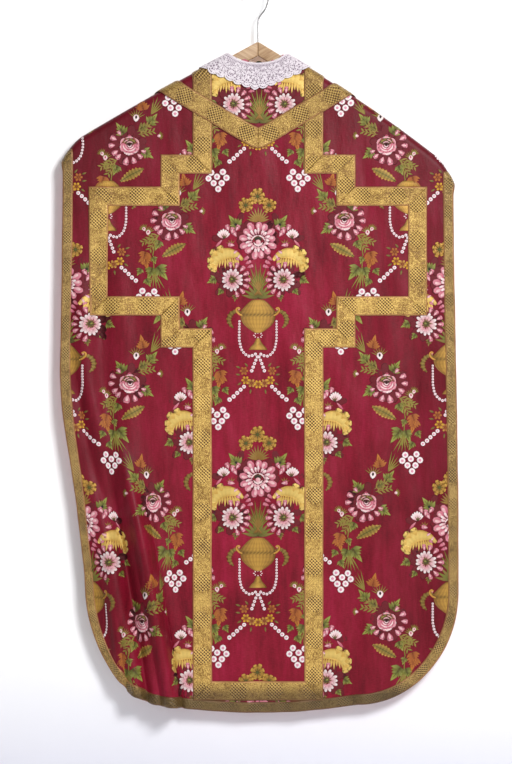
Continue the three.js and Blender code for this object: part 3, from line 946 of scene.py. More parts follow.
# %% Dyes of the floss and gilt
PEARL, PEARL_EYE = (250, 236, 236), (226, 150, 172)
SNOW, BLUSH, ROSE, DEEP_ROSE = (252, 244, 240), (246, 208, 208), (226, 142, 156), (188, 78, 104)
MAROON, INK = (106, 10, 26), (34, 20, 22)
GREEN, DARK_GREEN, OLIVE, PALE_LEAF = (132, 132, 44), (88, 86, 34), (148, 124, 58), (160, 160, 76)
GOLD, DARK_GOLD, PALE_GOLD = (206, 158, 70), (142, 98, 40), (232, 198, 110)
ORANGE, YELLOW, RUST = (186, 112, 42), (232, 184, 44), (146, 74, 34)


# %% Small parts that both motifs use
def shaded_leaf(design, x, y, turn, long, dye=GREEN, shade=DARK_GREEN, lobes=5):
    """A lobed leaf: pairs of pointed lobes stand off a midrib, which ends in one more."""
    pairs = lobes // 2 + 1
    light = PALE_LEAF if dye == GREEN else dye
    for k in range(pairs):
        foot = onward(x, y, turn, long * (0.08 + 0.5 * k / pairs))
        reach = long * (0.56 - 0.1 * k)
        for side in (-1, 1):
            tip = dye if (k + (side > 0)) % 2 else light
            lean = side * (62 - 9 * k)
            design.put("leaf", *foot, turn + lean, long=reach, wide=reach * 0.46, dye=shade, tip=tip)
    foot = onward(x, y, turn, long * 0.4)
    design.put("leaf", *foot, turn, long=long * 0.62, wide=long * 0.26, dye=dye, tip=light)
    design.put("bar", x, y, turn, long=long * 0.75, wide=0.9, dye=shade, low=0.55, high=0.45)


def sprig(design, x, y, turn, long, pairs=4, size=9.0):
    """A stem with pairs of narrow leaves."""
    design.put("bar", x, y, turn, long=long, wide=1.3, dye=OLIVE, tip=GREEN)
    for k in range(pairs):
        foot, reach = onward(x, y, turn, long * (k + 0.6) / pairs), size * (1 - 0.08 * k)
        for side in (-1, 1):
            tip = GREEN if k % 2 else OLIVE
            design.put("leaf", *foot, turn + side * 42, long=reach, wide=3.5, dye=OLIVE, tip=tip)


def spiky_bud(design, x, y, turn, size, petal=SNOW, eye=INK):
    """A bud in a fan of spiky sepals."""
    for k in range(7):
        design.put("leaf", x, y, turn + (k - 3) * 20, long=size * 1.25, wide=1.7, dye=OLIVE, tip=GREEN)
    for away, long, wide, dye, tip, low, high in (
        (-0.45, 0.95, 0.8, petal, BLUSH, 0.3, 0.7), (-0.1, 0.45, 0.28, eye, eye, 0.9, 0.5),
    ):
        foot = onward(x, y, turn, away * size)
        design.put(
            "petal", *foot, turn, long=long * size, wide=wide * size, dye=dye, tip=tip, low=low, high=high,
        )


def leaf_spray(design, x, y, turns, long, shorter, wide):
    """Thin stems that spread from one foot, each shorter than the one before."""
    for k, turn in enumerate(turns):
        design.put("leaf", x, y, turn, long=long - shorter * k, wide=wide, dye=OLIVE, tip=GREEN)


def rosy_petal(design, side, x, y, turn, long, wide, light_long, light_wide, low=0.25, light=(0.8, 0.4)):
    """A broad deep petal with a light one upon it."""
    design.beside(side, "heart", x, y, turn, long=long, wide=wide, dye=DEEP_ROSE, tip=ROSE, low=low)
    design.beside(
        side, "petal", x, y, turn, long=light_long, wide=light_wide, dye=ROSE, tip=BLUSH,
        low=light[0], high=light[1],
    )


def curled(design, x, y, radius, first, sweep, wide, dye, edge, high=0.9, squash=0.9):
    """A petal that curls round a centre, broad in the middle and thin at both ends."""
    turns = np.radians(first + sweep * np.linspace(0, 1, 9))
    middle = [(x + radius * math.cos(a), y + squash * radius * math.sin(a)) for a in turns]
    widths = [0.3, 0.7 * wide, wide, 0.9 * wide, 0.3]
    design.blade(middle, widths, dye, edge, fibre="floss", rows=8, columns=4, high=high)


# %% First motif: the vase, its handles and its pearls
vase = Design()


def belly_stripes(t, side, colour):
    """Ribs on the belly and a zigzag band across it."""
    ribs = 0.88 + 0.12 * np.cos(side * 31)
    band = np.exp(-(((t[:, None] - 0.55) / 0.07) ** 2))
    zigzag = 0.5 + 0.5 * np.cos(side * 30 + 40 * np.abs(t[:, None] - 0.55))
    shade = ribs * (1 - 0.75 * band * zigzag)
    shade[::3] *= 0.86
    return colour * shade[..., None]


BELLY = [10, 18, 24, 30, 31, 30, 28, 23, 15, 5]
vase.blade(
    [(0, -28), (0, 29)], BELLY[::-1], GOLD, DARK_GOLD, rows=22, columns=20, high=1.1, stripe=belly_stripes,
)
vase.blade([(0, -57), (0, -37)], [16, 13, 8, 5, 3], GOLD, DARK_GOLD, rows=8, columns=8, stripe=belly_stripes)
vase.ring("bar", 0, -32, 8, 5.4, squash=0.5, long=3.0, wide=1.8, dye=BLUSH)
vase.both_blades(
    [(27, 2), (32, 4), (37, 9), (37, 14), (33, 16), (31, 13)], [1.6, 1.6, 1.5, 1.2], dye=GOLD, edge=ORANGE,
    columns=4, high=1.0,
)
vase.both("bead", 33, 12.5, long=3.6, dye=ROSE, tip=GOLD)
vase.both_blades(
    [(29, 7), (38, 10), (46, 5), (50, -4), (48, -13), (42, -19)], [1.5, 3.5, 5, 5.5, 4.5, 1.5],
    dye=OLIVE, edge=RUST, rows=16, comb=0.4, veins=0.9, high=0.7,
)
vase.pearls([(32, -8), (32, -40), (29, -55), (23, -64), (15, -68), (7, -66), (0, -61)], 4.0, 5.6)
vase.pearls([(1.5, -69), (5, -77), (9, -88), (13, -99)], 5.4, 6.4)
vase.pearls([(24, -120), (33, -128), (42, -137), (54, -146)], 7.0, 8.4)
for x, y in ((60, -160), (80, -161), (54, -170), (70, -168), (85, -171), (62, -179), (76, -179), (68, -189)):
    for side in (-1, 1):
        vase.pearl(side * x, y, 11.6)
print("vase and pearls", len(vase.patches), "patches")

# %% Small flowers and leaves below the vase
for x, y, dye in ((0, -116, YELLOW), (21, -109, YELLOW), (24, -93, ORANGE), (11, -114, GOLD)):
    for side in (-1, 1) if x else (1,):
        vase.ring("petal", side * x, y, 6, 1.2, long=6.4, wide=4.6, dye=RUST, tip=dye)
        vase.put("bead", side * x, y, long=3.4, dye=RUST, low=0.6, high=0.5)
for x, y, turn in ((30, -100, 10), (28, -113, -30), (12, -124, -80), (17, -86, 50), (30, -88, 20)):
    vase.both("leaf", x, y, turn, long=9, wide=3.6, dye=DARK_GREEN, tip=OLIVE)
for side in (-1, 1):
    shaded_leaf(vase, side * 66, -138, 270 + side * 28, 17)
    shaded_leaf(vase, side * 63, -99, 270 + side * 14, 27, dye=ORANGE, shade=RUST, lobes=7)
    spiky_bud(vase, side * 70, -60, 90 - side * 8, 10, petal=BLUSH, eye=DEEP_ROSE)
    sprig(vase, side * 71, -84, 90 - side * 6, 20, pairs=3)

# %% The top of the bouquet: gilt flowers over a fan of leaves
for x, y, size in ((-1, 206, 14), (-21, 191, 12.5), (19, 191, 12.5)):
    vase.ring(
        "heart", x, y, 8, 2.2, first=22, long=size - 2, wide=size * 0.62, dye=DARK_GOLD, tip=GOLD,
        fibre="gilt",
    )
    vase.ring("bar", x, y, 8, 0, long=size * 0.5, wide=1.1, dye=DARK_GREEN, low=0.6, high=0.4)
    vase.put("bead", x, y, long=5, dye=DARK_GREEN, low=0.7, high=0.5)
for k in range(-5, 6):
    vase.put(
        "leaf", 0, 162, 90 + 15 * k, long=27 - 1.2 * abs(k), wide=4.0, dye=DARK_GOLD, tip=OLIVE, fibre="gilt",
    )
for side in (-1, 1):
    shaded_leaf(vase, side * 33, 152, 90 - side * 38, 28, lobes=6)
    vase.put("bead", side * 38, 158, long=4.4, dye=INK, low=0.6, high=0.4)

# %% The dark shadows that the weavers laid behind the blooms
for radius, count, long, wide, first in ((14, 9, 24, 15, 10), (15, 7, 26, 17, 40)):
    vase.ring("petal", 0, 136, count, radius, first=first, long=long, wide=wide, dye=MAROON, high=0.25)
for side in (-1, 1):
    vase.ring("petal", side * 44, 64, 9, 10, first=20, long=20, wide=14, dye=MAROON, high=0.25)
    for x, y, turn in ((58, 132, 10), (62, 122, -40), (34, 158, 110), (56, 52, -40), (62, 70, 10)):
        vase.beside(side, "petal", x, y, turn, long=22, wide=13, dye=MAROON, high=0.22)

# %% The great bloom: three rows of petals, curled ones round a dark hollow, and a rosy heart
BLOOM = (0, 131)
vase.ring("petal", *BLOOM, 13, 15.5, first=6, long=17, wide=12.5, dye=DEEP_ROSE, tip=ROSE, low=0.25)
vase.ring("petal", *BLOOM, 13, 17, first=9, long=12, wide=6.0, dye=ROSE, tip=BLUSH, low=0.75, high=0.4)
vase.ring("bar", *BLOOM, 13, 17, first=3, long=8, wide=1.2, dye=DEEP_ROSE, tip=ROSE, low=1.0, high=0.3)
vase.ring("petal", *BLOOM, 17, 9.5, long=11.5, wide=5.2, dye=ROSE, tip=SNOW, low=0.5, high=0.8)
for first, sweep, radius, wide, dye, edge in (
    (184, 90, 12.0, 1.8, ROSE, SNOW), (266, 90, 12.0, 1.8, ROSE, SNOW), (190, 160, 7.6, 2.0, BLUSH, SNOW),
    (200, 140, 3.2, 1.7, ROSE, SNOW), (12, 156, 6.2, 3.2, INK, DARK_GREEN), (2, 88, 11.2, 1.3, BLUSH, SNOW),
    (90, 88, 11.2, 1.3, BLUSH, SNOW),
):
    curled(vase, 0, 129, radius, first, sweep, wide, dye, edge, high=1.5)
vase.ring("bar", *BLOOM, 18, 9, long=8, wide=1.3, dye=INK, tip=DEEP_ROSE, low=0.9, high=0.4)
vase.put("bead", 0, 128, long=9, dye=ROSE, tip=BLUSH, low=0.75, high=0.5)

# %% Lotus buds and loose petals beside the great bloom
for side in (-1, 1):
    for k in range(7):
        vase.beside(
            side, "petal", 59, 134, 38 + 17 * k, long=17 - abs(k - 3), wide=5.2, dye=ROSE, tip=SNOW, low=0.3,
        )
    for k in range(4):
        vase.beside(
            side, "leaf", 58, 133, 60 + 22 * k, long=10, wide=1.8, dye=INK, tip=OLIVE, low=0.9, high=0.4,
        )
    vase.beside(side, "petal", 61, 132, -48, long=17, wide=4.4, dye=ROSE, tip=DEEP_ROSE, low=0.3)
    for x, y, turn in (
        (45, 142, 100), (37, 137, 60), (38, 147, 120), (50, 147, 70), (35, 113, -35), (40, 122, 10),
        (30, 107, -60),
    ):
        rosy_petal(vase, side, x, y, turn, 11.5, 8.6, 8, 3.4)
    for k in range(4):
        vase.beside(side, "leaf", 46, 124, 20 + 38 * k, long=10, wide=2.4, dye=OLIVE, tip=RUST)

# %% Acanthus of pale gilt that curls outwards: a plume that widens to lobes, with teeth below
PLUME = [(26, 97), (36, 106), (50, 109), (64, 107), (74, 98), (77, 88)]
for side in (-1, 1):
    for k in range(11):
        vase.beside(
            side, "leaf", 37 + 3.9 * k, 103 - 0.13 * (k - 4) ** 2, -112 + 4.2 * k,
            long=14 + 3 * (k % 3) + 0.3 * k, wide=4.6, dye=GOLD, tip=PALE_GOLD, fibre="gilt",
        )
    vase.blade(
        [(side * x, y) for x, y in PLUME], [2.5, 6, 9, 10.5, 9.5, 6], PALE_GOLD, GOLD, rows=18, high=1.0,
        veins=0.22,
    )
    for x, y, turn, long in (
        (60, 108, 62, 15), (68, 104, 32, 16), (73, 96, 2, 14), (75, 91, -38, 13), (73, 90, -72, 14),
    ):
        vase.beside(
            side, "heart", x, y, turn, long=long, wide=long * 0.85, dye=GOLD, tip=PALE_GOLD,
            low=0.15, high=0.95, fibre="gilt",
        )
    vase.beside(side, "leaf", 26, 97, 32, long=20, wide=4, dye=DARK_GREEN, tip=GREEN)

# %% The lower blooms: white petals round a dark eye, and rosy ones towards the middle
for side in (-1, 1):
    bloom = (side * 44, 63)
    vase.ring(
        "petal", *bloom, 15, 6.5, long=12, wide=6.2, squash=1.15, dye=DEEP_ROSE, tip=SNOW, low=0.4,
    )
    vase.ring(
        "petal", *bloom, 11, 4.0, first=side * 14, long=9, wide=4.6, squash=1.15, dye=DEEP_ROSE, tip=BLUSH,
        low=0.85, high=0.5,
    )
    for first, radius in ((side * 20 + 180, 8.5), (side * 70 + 180, 7.5), (side * -40 + 180, 9.5)):
        curled(vase, *bloom, radius, first, 88, 1.5, ROSE, SNOW, high=1.45, squash=1.1)
    vase.ring("leaf", side * 43, 64, 9, 0.8, long=8.0, wide=3.0, dye=INK, tip=OLIVE, low=1.1, high=0.5)
    vase.beside(
        side, "petal", 41, 63, 20, long=6, wide=3.6, dye=DARK_GREEN, tip=PALE_LEAF, low=1.4, high=0.5,
    )
    for turn in range(84, 84 + 8 * 24, 24):
        rosy_petal(vase, side, *onward(44, 63, turn, 19.5), turn, 11.5, 8, 8, 3)
    for k in range(3):
        vase.beside(
            side, "heart", 25 - 3 * k, 96 - 6 * k, 140 + 10 * k, long=11, wide=6.5, dye=DEEP_ROSE, tip=ROSE,
            low=0.25,
        )
    for x, y, turn, long, dye, lobes in (
        (72, 66, -28, 18, GREEN, 5), (61, 47, -52, 13, GREEN, 4), (38, 38, -82, 13, OLIVE, 3),
    ):
        shaded_leaf(vase, side * x, y, turn if side > 0 else 180 - turn, long, dye=dye, lobes=lobes)

# %% The ferns that rise from the vase
for k in range(-7, 8):
    pale = (k + 7) % 2
    vase.put(
        "leaf", 1.5 * k, 34, 90 + 6.6 * k, long=(63, 50)[pale] - 2.0 * abs(k), wide=3.2,
        dye=(DARK_GREEN, DARK_GOLD)[pale], tip=(GREEN, OLIVE)[pale], low=(0.0, 0.3)[pale], fibre="gilt",
    )
for k in range(9):
    vase.put(
        "leaf", 0, 31, 90 + 19.5 * (k - 4), long=30, wide=6.0, dye=DARK_GREEN, tip=(OLIVE, GREEN)[k % 2],
    )
vase = vase.gathered()
print("vase motif", len(vase["fibre"]), "patches", len(vase["faces"]), "triangles")

# %% Second motif: the rose, a ring of curled petals round a dark heart
rose = Design()
rose.ring("petal", 2, 0, 11, 12, long=22, wide=15, dye=MAROON, high=0.25)
rose.ring("petal", 0, 1, 12, 2, long=14, wide=9, dye=MAROON, tip=DEEP_ROSE, low=0.2, high=0.4)
for k in range(15):  # the dark heart of the bloom, seen over the near petals
    rose.put(
        "leaf", 0, 1, 4 + 12.3 * k, long=15.5, wide=3.6, dye=INK, tip=(DARK_GREEN, RUST, OLIVE)[k % 3],
        low=0.45, high=0.4,
    )
rose.ring("heart", 0, 0, 8, 4, first=186, sweep=196, long=12.5, wide=9, dye=DEEP_ROSE, tip=ROSE, low=0.35)
for radius, first, sweep, wide, dye, edge, high in (
    (16.0, 186, 64, 2.3, ROSE, SNOW, 1.0), (16.5, 246, 60, 2.5, BLUSH, SNOW, 1.1),
    (15.5, 304, 60, 2.2, ROSE, SNOW, 1.05), (11.0, 200, 84, 1.8, BLUSH, SNOW, 1.2),
    (11.0, 280, 84, 1.9, BLUSH, SNOW, 1.25), (6.8, 180, 100, 1.4, BLUSH, SNOW, 1.35),
    (6.8, 276, 100, 1.4, ROSE, SNOW, 1.4), (16.0, 8, 50, 1.8, ROSE, BLUSH, 0.95),
    (15.0, 64, 50, 1.9, ROSE, SNOW, 1.0), (15.6, 122, 54, 1.8, ROSE, BLUSH, 0.9),
    (10.6, 26, 60, 1.2, ROSE, BLUSH, 1.2), (10.6, 92, 60, 1.2, OLIVE, PALE_LEAF, 1.2),
    (6.6, 36, 114, 1.2, ROSE, SNOW, 1.3), (3.2, 150, 220, 1.0, BLUSH, SNOW, 1.5),
):
    curled(rose, 0, 0, radius, first, sweep, wide, dye, edge, high)
rose.ring("petal", 0, 1.5, 6, 0.4, long=3.0, wide=2.0, dye=INK, tip=MAROON, low=1.2, high=0.4)
for x, y, turn, size in (
    (22, 9, 25, 12), (25, 0, -5, 11.5), (20, -9, -35, 12), (15, -15, -45, 12), (4, -20, -75, 14.5),
    (-5, -20, -110, 12), (-13, -15, -140, 11), (-19, -9, -160, 9), (15, 17, 55, 9),
):
    rosy_petal(rose, 1, x, y, turn, size, 0.82 * size, 0.8 * size, 0.36 * size, low=0.2, light=(0.75, 0.35))

# %% Its leaves, buds and stems
spiky_bud(rose, -11, 46, 96, 14)
for x, y, turn, long, dye, shade, lobes in (
    (9, 18, 55, 25, GREEN, DARK_GREEN, 5), (-32, 36, 130, 24, GREEN, DARK_GREEN, 7),
    (-21, -9, 215, 24, GREEN, DARK_GREEN, 5), (20, -34, -64, 20, GREEN, DARK_GREEN, 5),
    (-17, 28, 160, 20, OLIVE, DARK_GREEN, 5), (-24, 58, 78, 26, ORANGE, RUST, 7),
    (44, -52, 285, 25, ORANGE, RUST, 7), (32, -62, 250, 14, GREEN, DARK_GREEN, 4),
    (26, -78, 232, 31, GREEN, DARK_GREEN, 7), (32, -80, 292, 25, GREEN, DARK_GREEN, 6),
    (52, -82, 300, 15, GREEN, DARK_GREEN, 5),
):
    shaded_leaf(rose, x, y, turn, long, dye, shade, lobes)
sprig(rose, -12, 22, 148, 38, pairs=5, size=13)
sprig(rose, -14, 18, 168, 28, pairs=4, size=11)
sprig(rose, 21, -24, -26, 32, pairs=5, size=13)
sprig(rose, 24, -28, -58, 26, pairs=4, size=12)
spiky_bud(rose, -50, 16, 172, 7, petal=ROSE, eye=SNOW)
spiky_bud(rose, 47, -15, 62, 8, petal=BLUSH, eye=DEEP_ROSE)
leaf_spray(rose, -36, 52, range(102, 147, 11), 38, 3, 2.4)
leaf_spray(rose, 30, -88, range(238, 287, 12), 36, 2, 2.3)
for x, y, turn, long in ((20, -20, -62, 22), (29, -38, -82, 24), (31, -60, -92, 24), (30, -82, -100, 26)):
    rose.put("bar", x, y, turn, long=long, wide=1.7, dye=OLIVE, tip=GREEN)
rose.blade(
    [(16, -62), (5, -55), (-8, -48), (-24, -40)], [2, 7, 9.5, 8, 1.5], OLIVE, GOLD, rows=16,
    comb=0.3, veins=0.8,
)
rose.blade(
    [(16, -62), (5, -55), (-8, -48), (-20, -42)], [0.6, 0.8, 0.6], DARK_GREEN, rows=8, columns=2, high=1.2,
)
rose = rose.gathered()
print("rose motif", len(rose["fibre"]), "patches", len(rose["faces"]), "triangles")

# %% [markdown]
# ## Repeats of the brocade
# The loom repeats each motif every 408 mm down the cloth, and the next column of vases starts half a
# repeat lower. The rose vine winds from side to side between them. The cross and the sides are cut from
# different places of the same cloth, so each has its own starting point.

# %% Where the motifs fall on each pattern piece
REPEAT, VINE_SWING = 408.0, 17.0


def vases_at(columns, first):
    """Vases in those columns, the first that high, and on down."""
    return [(vase, x, first - k * REPEAT, 1) for x in columns for k in range(-1, 4)]


def vine_at(x, first, swing):
    """Roses down a vine, leaning one way and the other."""
    return [
        (rose, x + swing * (1, -1)[k % 2], first - k * REPEAT / 2, (1, -1)[k % 2] * (1 if swing > 0 else -1))
        for k in range(-1, 6)
    ]


CROSS_PATTERN = vases_at((0,), -160) + vases_at((-258, 258), -364)
CROSS_PATTERN += vine_at(129, -199, -19) + vine_at(-129, -199, 19)
SIDE_PATTERN = vases_at((-74, 74), -439) + vases_at((-332, 332), -236)
SIDE_PATTERN += vine_at(203, -274, VINE_SWING) + vine_at(-203, -274, -VINE_SWING)
PATTERNS = {
    "back_silk_neck": vases_at((2,), -267), "back_silk_cross": CROSS_PATTERN, "back_silk_left": SIDE_PATTERN,
    "back_silk_right": SIDE_PATTERN, "front_silk_pillar": vases_at((0,), -400),
    "front_silk_left": SIDE_PATTERN, "front_silk_right": SIDE_PATTERN,
}


# %% Weave them in
def woven_in(pattern, inside):
    """The pattern's patches whose middle is inside, by fibre."""
    found = {}
    for motif, x, y, flip in pattern:
        middle = motif["middle"] * [flip, 1] + [x, y]
        kept = inside(middle[:, 0], middle[:, 1])
        if not kept.any():
            continue
        for fibre in np.unique(motif["fibre"][kept]):
            wanted = (kept & (motif["fibre"] == fibre))[motif["of_point"]]
            number = np.cumsum(wanted) - 1
            faces = motif["faces"][wanted[motif["faces"][:, 0]]]
            faces = number[faces] if flip > 0 else number[faces][:, ::-1]
            points = motif["points"][wanted] * [flip, 1, 1] + [x, y, 0]
            found.setdefault(fibre, []).append((points, faces, motif["dye"][wanted]))
    return {fibre: joined(*zip(*parts)) for fibre, parts in found.items()}


THREADS = {"floss": floss, "pearls": floss, "gilt": gilt}
FROM_EDGE, RIM_GAP = 6.0, 8.0  # a patch's middle, and all of it, stay this far inside the garment's edge
LOW_RISE = 0.3  # of a patch that a braid covers
for side, pieces in PIECES.items():
    _, rim, hang = SIDES[side]
    for name, test in pieces.items():
        woven = woven_in(PATTERNS[name], on_piece(side, test, FROM_EDGE))
        for fibre, (points, faces, dye) in woven.items():
            wide = np.maximum(width_at(rim, points[:, 1]) - RIM_GAP, 0)
            across = np.where(wide > 0, np.clip(points[:, 0], -wide, wide), points[:, 0])
            top = seam_line(across) - 1.5 if side == "back" else shoulder_line(across) - 2
            height = np.minimum(points[:, 1], top)
            rise = np.where(bare(side, across, height), points[:, 2], np.minimum(points[:, 2], LOW_RISE))
            made = new_piece(
                name.replace("silk", "brocade") + "_" + fibre,
                hang(across, height, SILK[0] - 0.12 + 0.85 * rise),
                faces[:, ::-1] if side == "front" else faces,
                THREADS[fibre],
                dye=dye,
            )
            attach(made, "garment")
            print(made.name, len(faces), "triangles")

# %% [markdown]
# ## Galloon and edge braid
# A braid is a long strip laid along the line that it covers and folded into a mitre at each corner. Each
# straight run here is a strip of its own, cut slantwise at its ends, so the mitres show as they do on
# sewn braid. Its outer face has the relief of the weave, with rounded edges.


# %% Strips of braid
def corner_points(outer, width, side):
    """The inner corners of a braid of that width that follows the outer points."""
    run = np.diff(outer, axis=0)
    run /= np.linalg.norm(run, axis=1, keepdims=True)
    inwards = np.stack([-run[:, 1], run[:, 0]], axis=1) * side
    before = np.concatenate([inwards[:1], inwards])
    after = np.concatenate([inwards, inwards[-1:]])
    share = 1 + (before * after).sum(1, keepdims=True)
    return outer + width * (before + after) / share


def weave_relief(along, across, width):
    """How far the gilt thread stands up at each place of a braid, from 0 to 1."""
    rim = np.minimum(across, width - across)
    edge = np.abs(2 * across / width - 1)
    repeat, cell = (GALLOON_REPEAT, GALLOON_CELL) if width > EDGE_BRAID else (EDGING_REPEAT, EDGING_CELL)
    lattice = np.cos(2 * np.pi * along / repeat) - 0.75 * edge > 0
    slanted = np.abs(np.sin(np.pi * (along + across) / cell) * np.sin(np.pi * (along - across) / cell))
    scroll = 0.5 + 0.5 * np.sin(along * 0.9 + 2.2 * np.sin(across * 0.45 + along * 0.07))
    figure = np.where(lattice, 1 - slanted, scroll)
    return np.clip(rim / 1.6, 0, 1) ** 0.5 * (0.55 + 0.45 * figure * (rim > 2))


ROOT = 0.25  # the braid's ground, under its relief


def strip(outer, inner, start, width, cells, under, thick):
    """One run of braid as a closed strip: its flat points, depths, faces and measure along the braid."""
    n, m = len(outer), cells + 1
    share = np.linspace(0, 1, m)[None, :, None]
    flat = outer[:, None] * (1 - share) + inner[:, None] * share
    middle = (outer + inner) / 2
    along = start + lengths_along(middle)
    direction = np.gradient(middle, axis=0)
    direction /= np.linalg.norm(direction, axis=1, keepdims=True)
    along = along[:, None] + ((flat - middle[:, None]) * direction[:, None]).sum(-1)
    across = np.broadcast_to(share[..., 0] * width, (n, m))
    top = under + ROOT + (thick - ROOT) * weave_relief(along, across, width)
    top[[0, -1]] = under + 0.55 * thick
    flat = np.concatenate([flat.reshape(-1, 2)] * 2)
    depth = np.concatenate([np.full(n * m, under), top.ravel()])
    measure = np.tile(np.stack([along.ravel(), across.ravel()], axis=1), (2, 1))
    a, rim = lattice_parts(n, m)
    lid = np.stack([a, a + 1, a + m + 1, a + m], axis=1)
    ahead, up = np.roll(rim, -1), n * m
    walls = np.stack([rim, rim + up, ahead + up, ahead], axis=1)
    return flat, depth, np.concatenate([lid[:, ::-1] + up, lid, walls]), measure, float(along.max())


def face_out(piece):
    choose(piece)
    bpy.ops.object.mode_set(mode="EDIT")
    bpy.ops.mesh.select_all(action="SELECT")
    bpy.ops.mesh.normals_make_consistent(inside=False)
    bpy.ops.object.mode_set(mode="OBJECT")

def lay_braid(name, runs, hang, material, width, under, thick=1.1, cell=1.9, start=0.0):
    """runs is a list of (outer points, inner points); each becomes a strip of its own."""
    points, faces, measures, count = [], [], [], 0
    for outer, inner in runs:
        cells = max(4, round(width / cell))
        flat, depth, quads, measure, start = strip(outer, inner, start, width, cells, under, thick)
        points.append(hang(flat[:, 0], flat[:, 1], depth))
        faces.append(quads + count)
        measures.append(measure)
        count += len(flat)
    made = new_piece(
        name, np.concatenate(points), np.concatenate(faces), material, np.concatenate(measures)
    )
    face_out(made)
    return made


def from_to(start, end, count):
    """Evenly spaced points from one to the other."""
    t = np.linspace(0, 1, count)[:, None]
    return start * (1 - t) + end * t


def straight_runs(outer, width, side, cell=1.9):
    inner = corner_points(outer, width, side)
    runs = []
    for k in range(len(outer) - 1):
        count = max(2, round(np.linalg.norm(outer[k + 1] - outer[k]) / cell)) + 1
        runs.append((from_to(outer[k], outer[k + 1], count), from_to(inner[k], inner[k + 1], count)))
    return runs


def on_garment(piece, node):
    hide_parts(node)
    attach(piece, "garment")
    print(piece.name, len(piece.data.polygons), "faces")


# %% The stepped cross and its foot
SIGNS = ((-1, "left"), (1, "right"))
STEPS = [
    (COLUMN, STEP_TOP), (STEP, STEP_TOP), (STEP, ARM_TOP), (ARM, ARM_TOP), (ARM, ARM_LOW), (STEP, ARM_LOW),
    (STEP, STEP_LOW), (COLUMN, STEP_LOW), (COLUMN, FOOT), (0.0, FOOT),
]
for sign, word in SIGNS:
    top = float(seam_line(sign * COLUMN)) - 1
    runs = straight_runs(np.array([(COLUMN, top)] + STEPS) * [sign, 1], BRAID, -sign)[:-1]
    made = lay_braid(f"cross_galloon_{word}", runs, on_back, galloon, BRAID, BRAID_UNDER, start=17.0 * sign)
    on_garment(made, f"cross_braid_{word}")

foot = np.array([(-COLUMN, FOOT), (COLUMN, FOOT)], float)
foot_inner = foot + np.array([(BRAID, BRAID), (-BRAID, BRAID)])
foot_run = (from_to(*foot, 118), from_to(*foot_inner, 118))
made = lay_braid("cross_galloon_foot", [foot_run], on_back, galloon, BRAID, BRAID_UNDER)
on_garment(made, "cross_braid_foot")

# %% The V at the neck, with its rounded point
VEE_TALL = BRAID * math.hypot(1, VEE_SLOPE)
for sign, word in SIGNS:
    edges = []
    for low, rounding, fades in ((VEE_POINT, 5.0, 9.0), (VEE_POINT + VEE_TALL, 2.0, 7.0)):
        x = np.linspace(0, 260, 2601)
        end = x[np.argmax(low + VEE_SLOPE * x > seam_line(sign * x))]
        t = np.linspace(0, end, 110)
        edges.append(np.stack([sign * t, low + VEE_SLOPE * t + rounding * np.exp(-t / fades)], axis=1))
    made = lay_braid(f"vee_galloon_{word}", [tuple(edges)], on_back, galloon, BRAID, UPPER_UNDER, start=40.0)
    on_garment(made, f"neck_braid_{word}")

# %% The narrow braid round the back's edge
EDGING_UNDER = BRAID_UNDER - 0.6
outer = back_rim(360)
outer = outer[outer[:, 1] < seam_line(outer[:, 0]) + 1]
run = (outer, corner_points(outer, EDGE_BRAID, 1))
made = lay_braid("back_edging", [run], on_back, edging, EDGE_BRAID, EDGING_UNDER, cell=2.25)
on_garment(made, "back_edge_braid")

# %% The braids of the front
PILLAR_FOOT = FRONT_HEM + 20
outer = front_rim(300)
outer = outer[outer[:, 1] < shoulder_line(outer[:, 0]) - 1.5]
run = (outer, corner_points(outer, EDGE_BRAID, 1))
made = lay_braid("front_edging", [run], on_front, edging, EDGE_BRAID, EDGING_UNDER, cell=3.0)
on_garment(made, "front_edge_braid")
for sign, word in SIGNS:
    top = float(shoulder_line(sign * COLUMN)) - 18
    runs = straight_runs(np.array([(COLUMN, top), (COLUMN, PILLAR_FOOT)]) * [sign, 1], BRAID, -sign)
    made = lay_braid(f"pillar_galloon_{word}", runs, on_front, galloon, BRAID, BRAID_UNDER)
    on_garment(made, f"pillar_braid_{word}")
    x = np.linspace(NECK_HALF + 6, 318, 110) * sign
    run = (np.stack([x, shoulder_line(x) - 19], axis=1), np.stack([x, shoulder_line(x) - 1], axis=1))
    made = lay_braid(f"shoulder_edging_{word}", [run], on_front, edging, EDGE_BRAID, BRAID_UNDER + 0.3)
    on_garment(made, f"shoulder_braid_{word}")
    x = np.linspace(0, NECK_HALF, 90)
    line = np.stack([x * sign, neck_front_line(x)], axis=1)
    line = line[line[:, 1] < shoulder_line(line[:, 0]) - 3]
    wide = corner_points(line, EDGE_BRAID, -sign)
    wide[0] = (0, line[0, 1] - 1.25 * EDGE_BRAID)
    wide[:, 0] = np.maximum(wide[:, 0] * sign, 0) * sign
    made = lay_braid(f"neck_edging_{word}", [(line, wide)], on_front, edging, EDGE_BRAID, BRAID_UNDER + 0.1)
    on_garment(made, f"front_neck_braid_{word}")
foot = np.array([(-COLUMN + BRAID, PILLAR_FOOT), (COLUMN - BRAID, PILLAR_FOOT)], float)
made = lay_braid("pillar_galloon_foot", straight_runs(foot, BRAID, 1), on_front, galloon, BRAID, BRAID_UNDER)
on_garment(made, "pillar_braid_foot")

# %% [markdown]
# ## Lace collar and neck tape
# Bobbin lace is sewn round the neck. Its ground is a net of twisted thread in diamonds, its rim a row of
# scallops edged with tiny loops, and between them stand flowers and fans of close cloth stitch. The net
# is laid as single threads over a thin muslin, which keeps the crimson from showing through. The muslin
# is a lilac grey, as painted shade between the threads.
# A linen tape binds the raw neck edge inside.

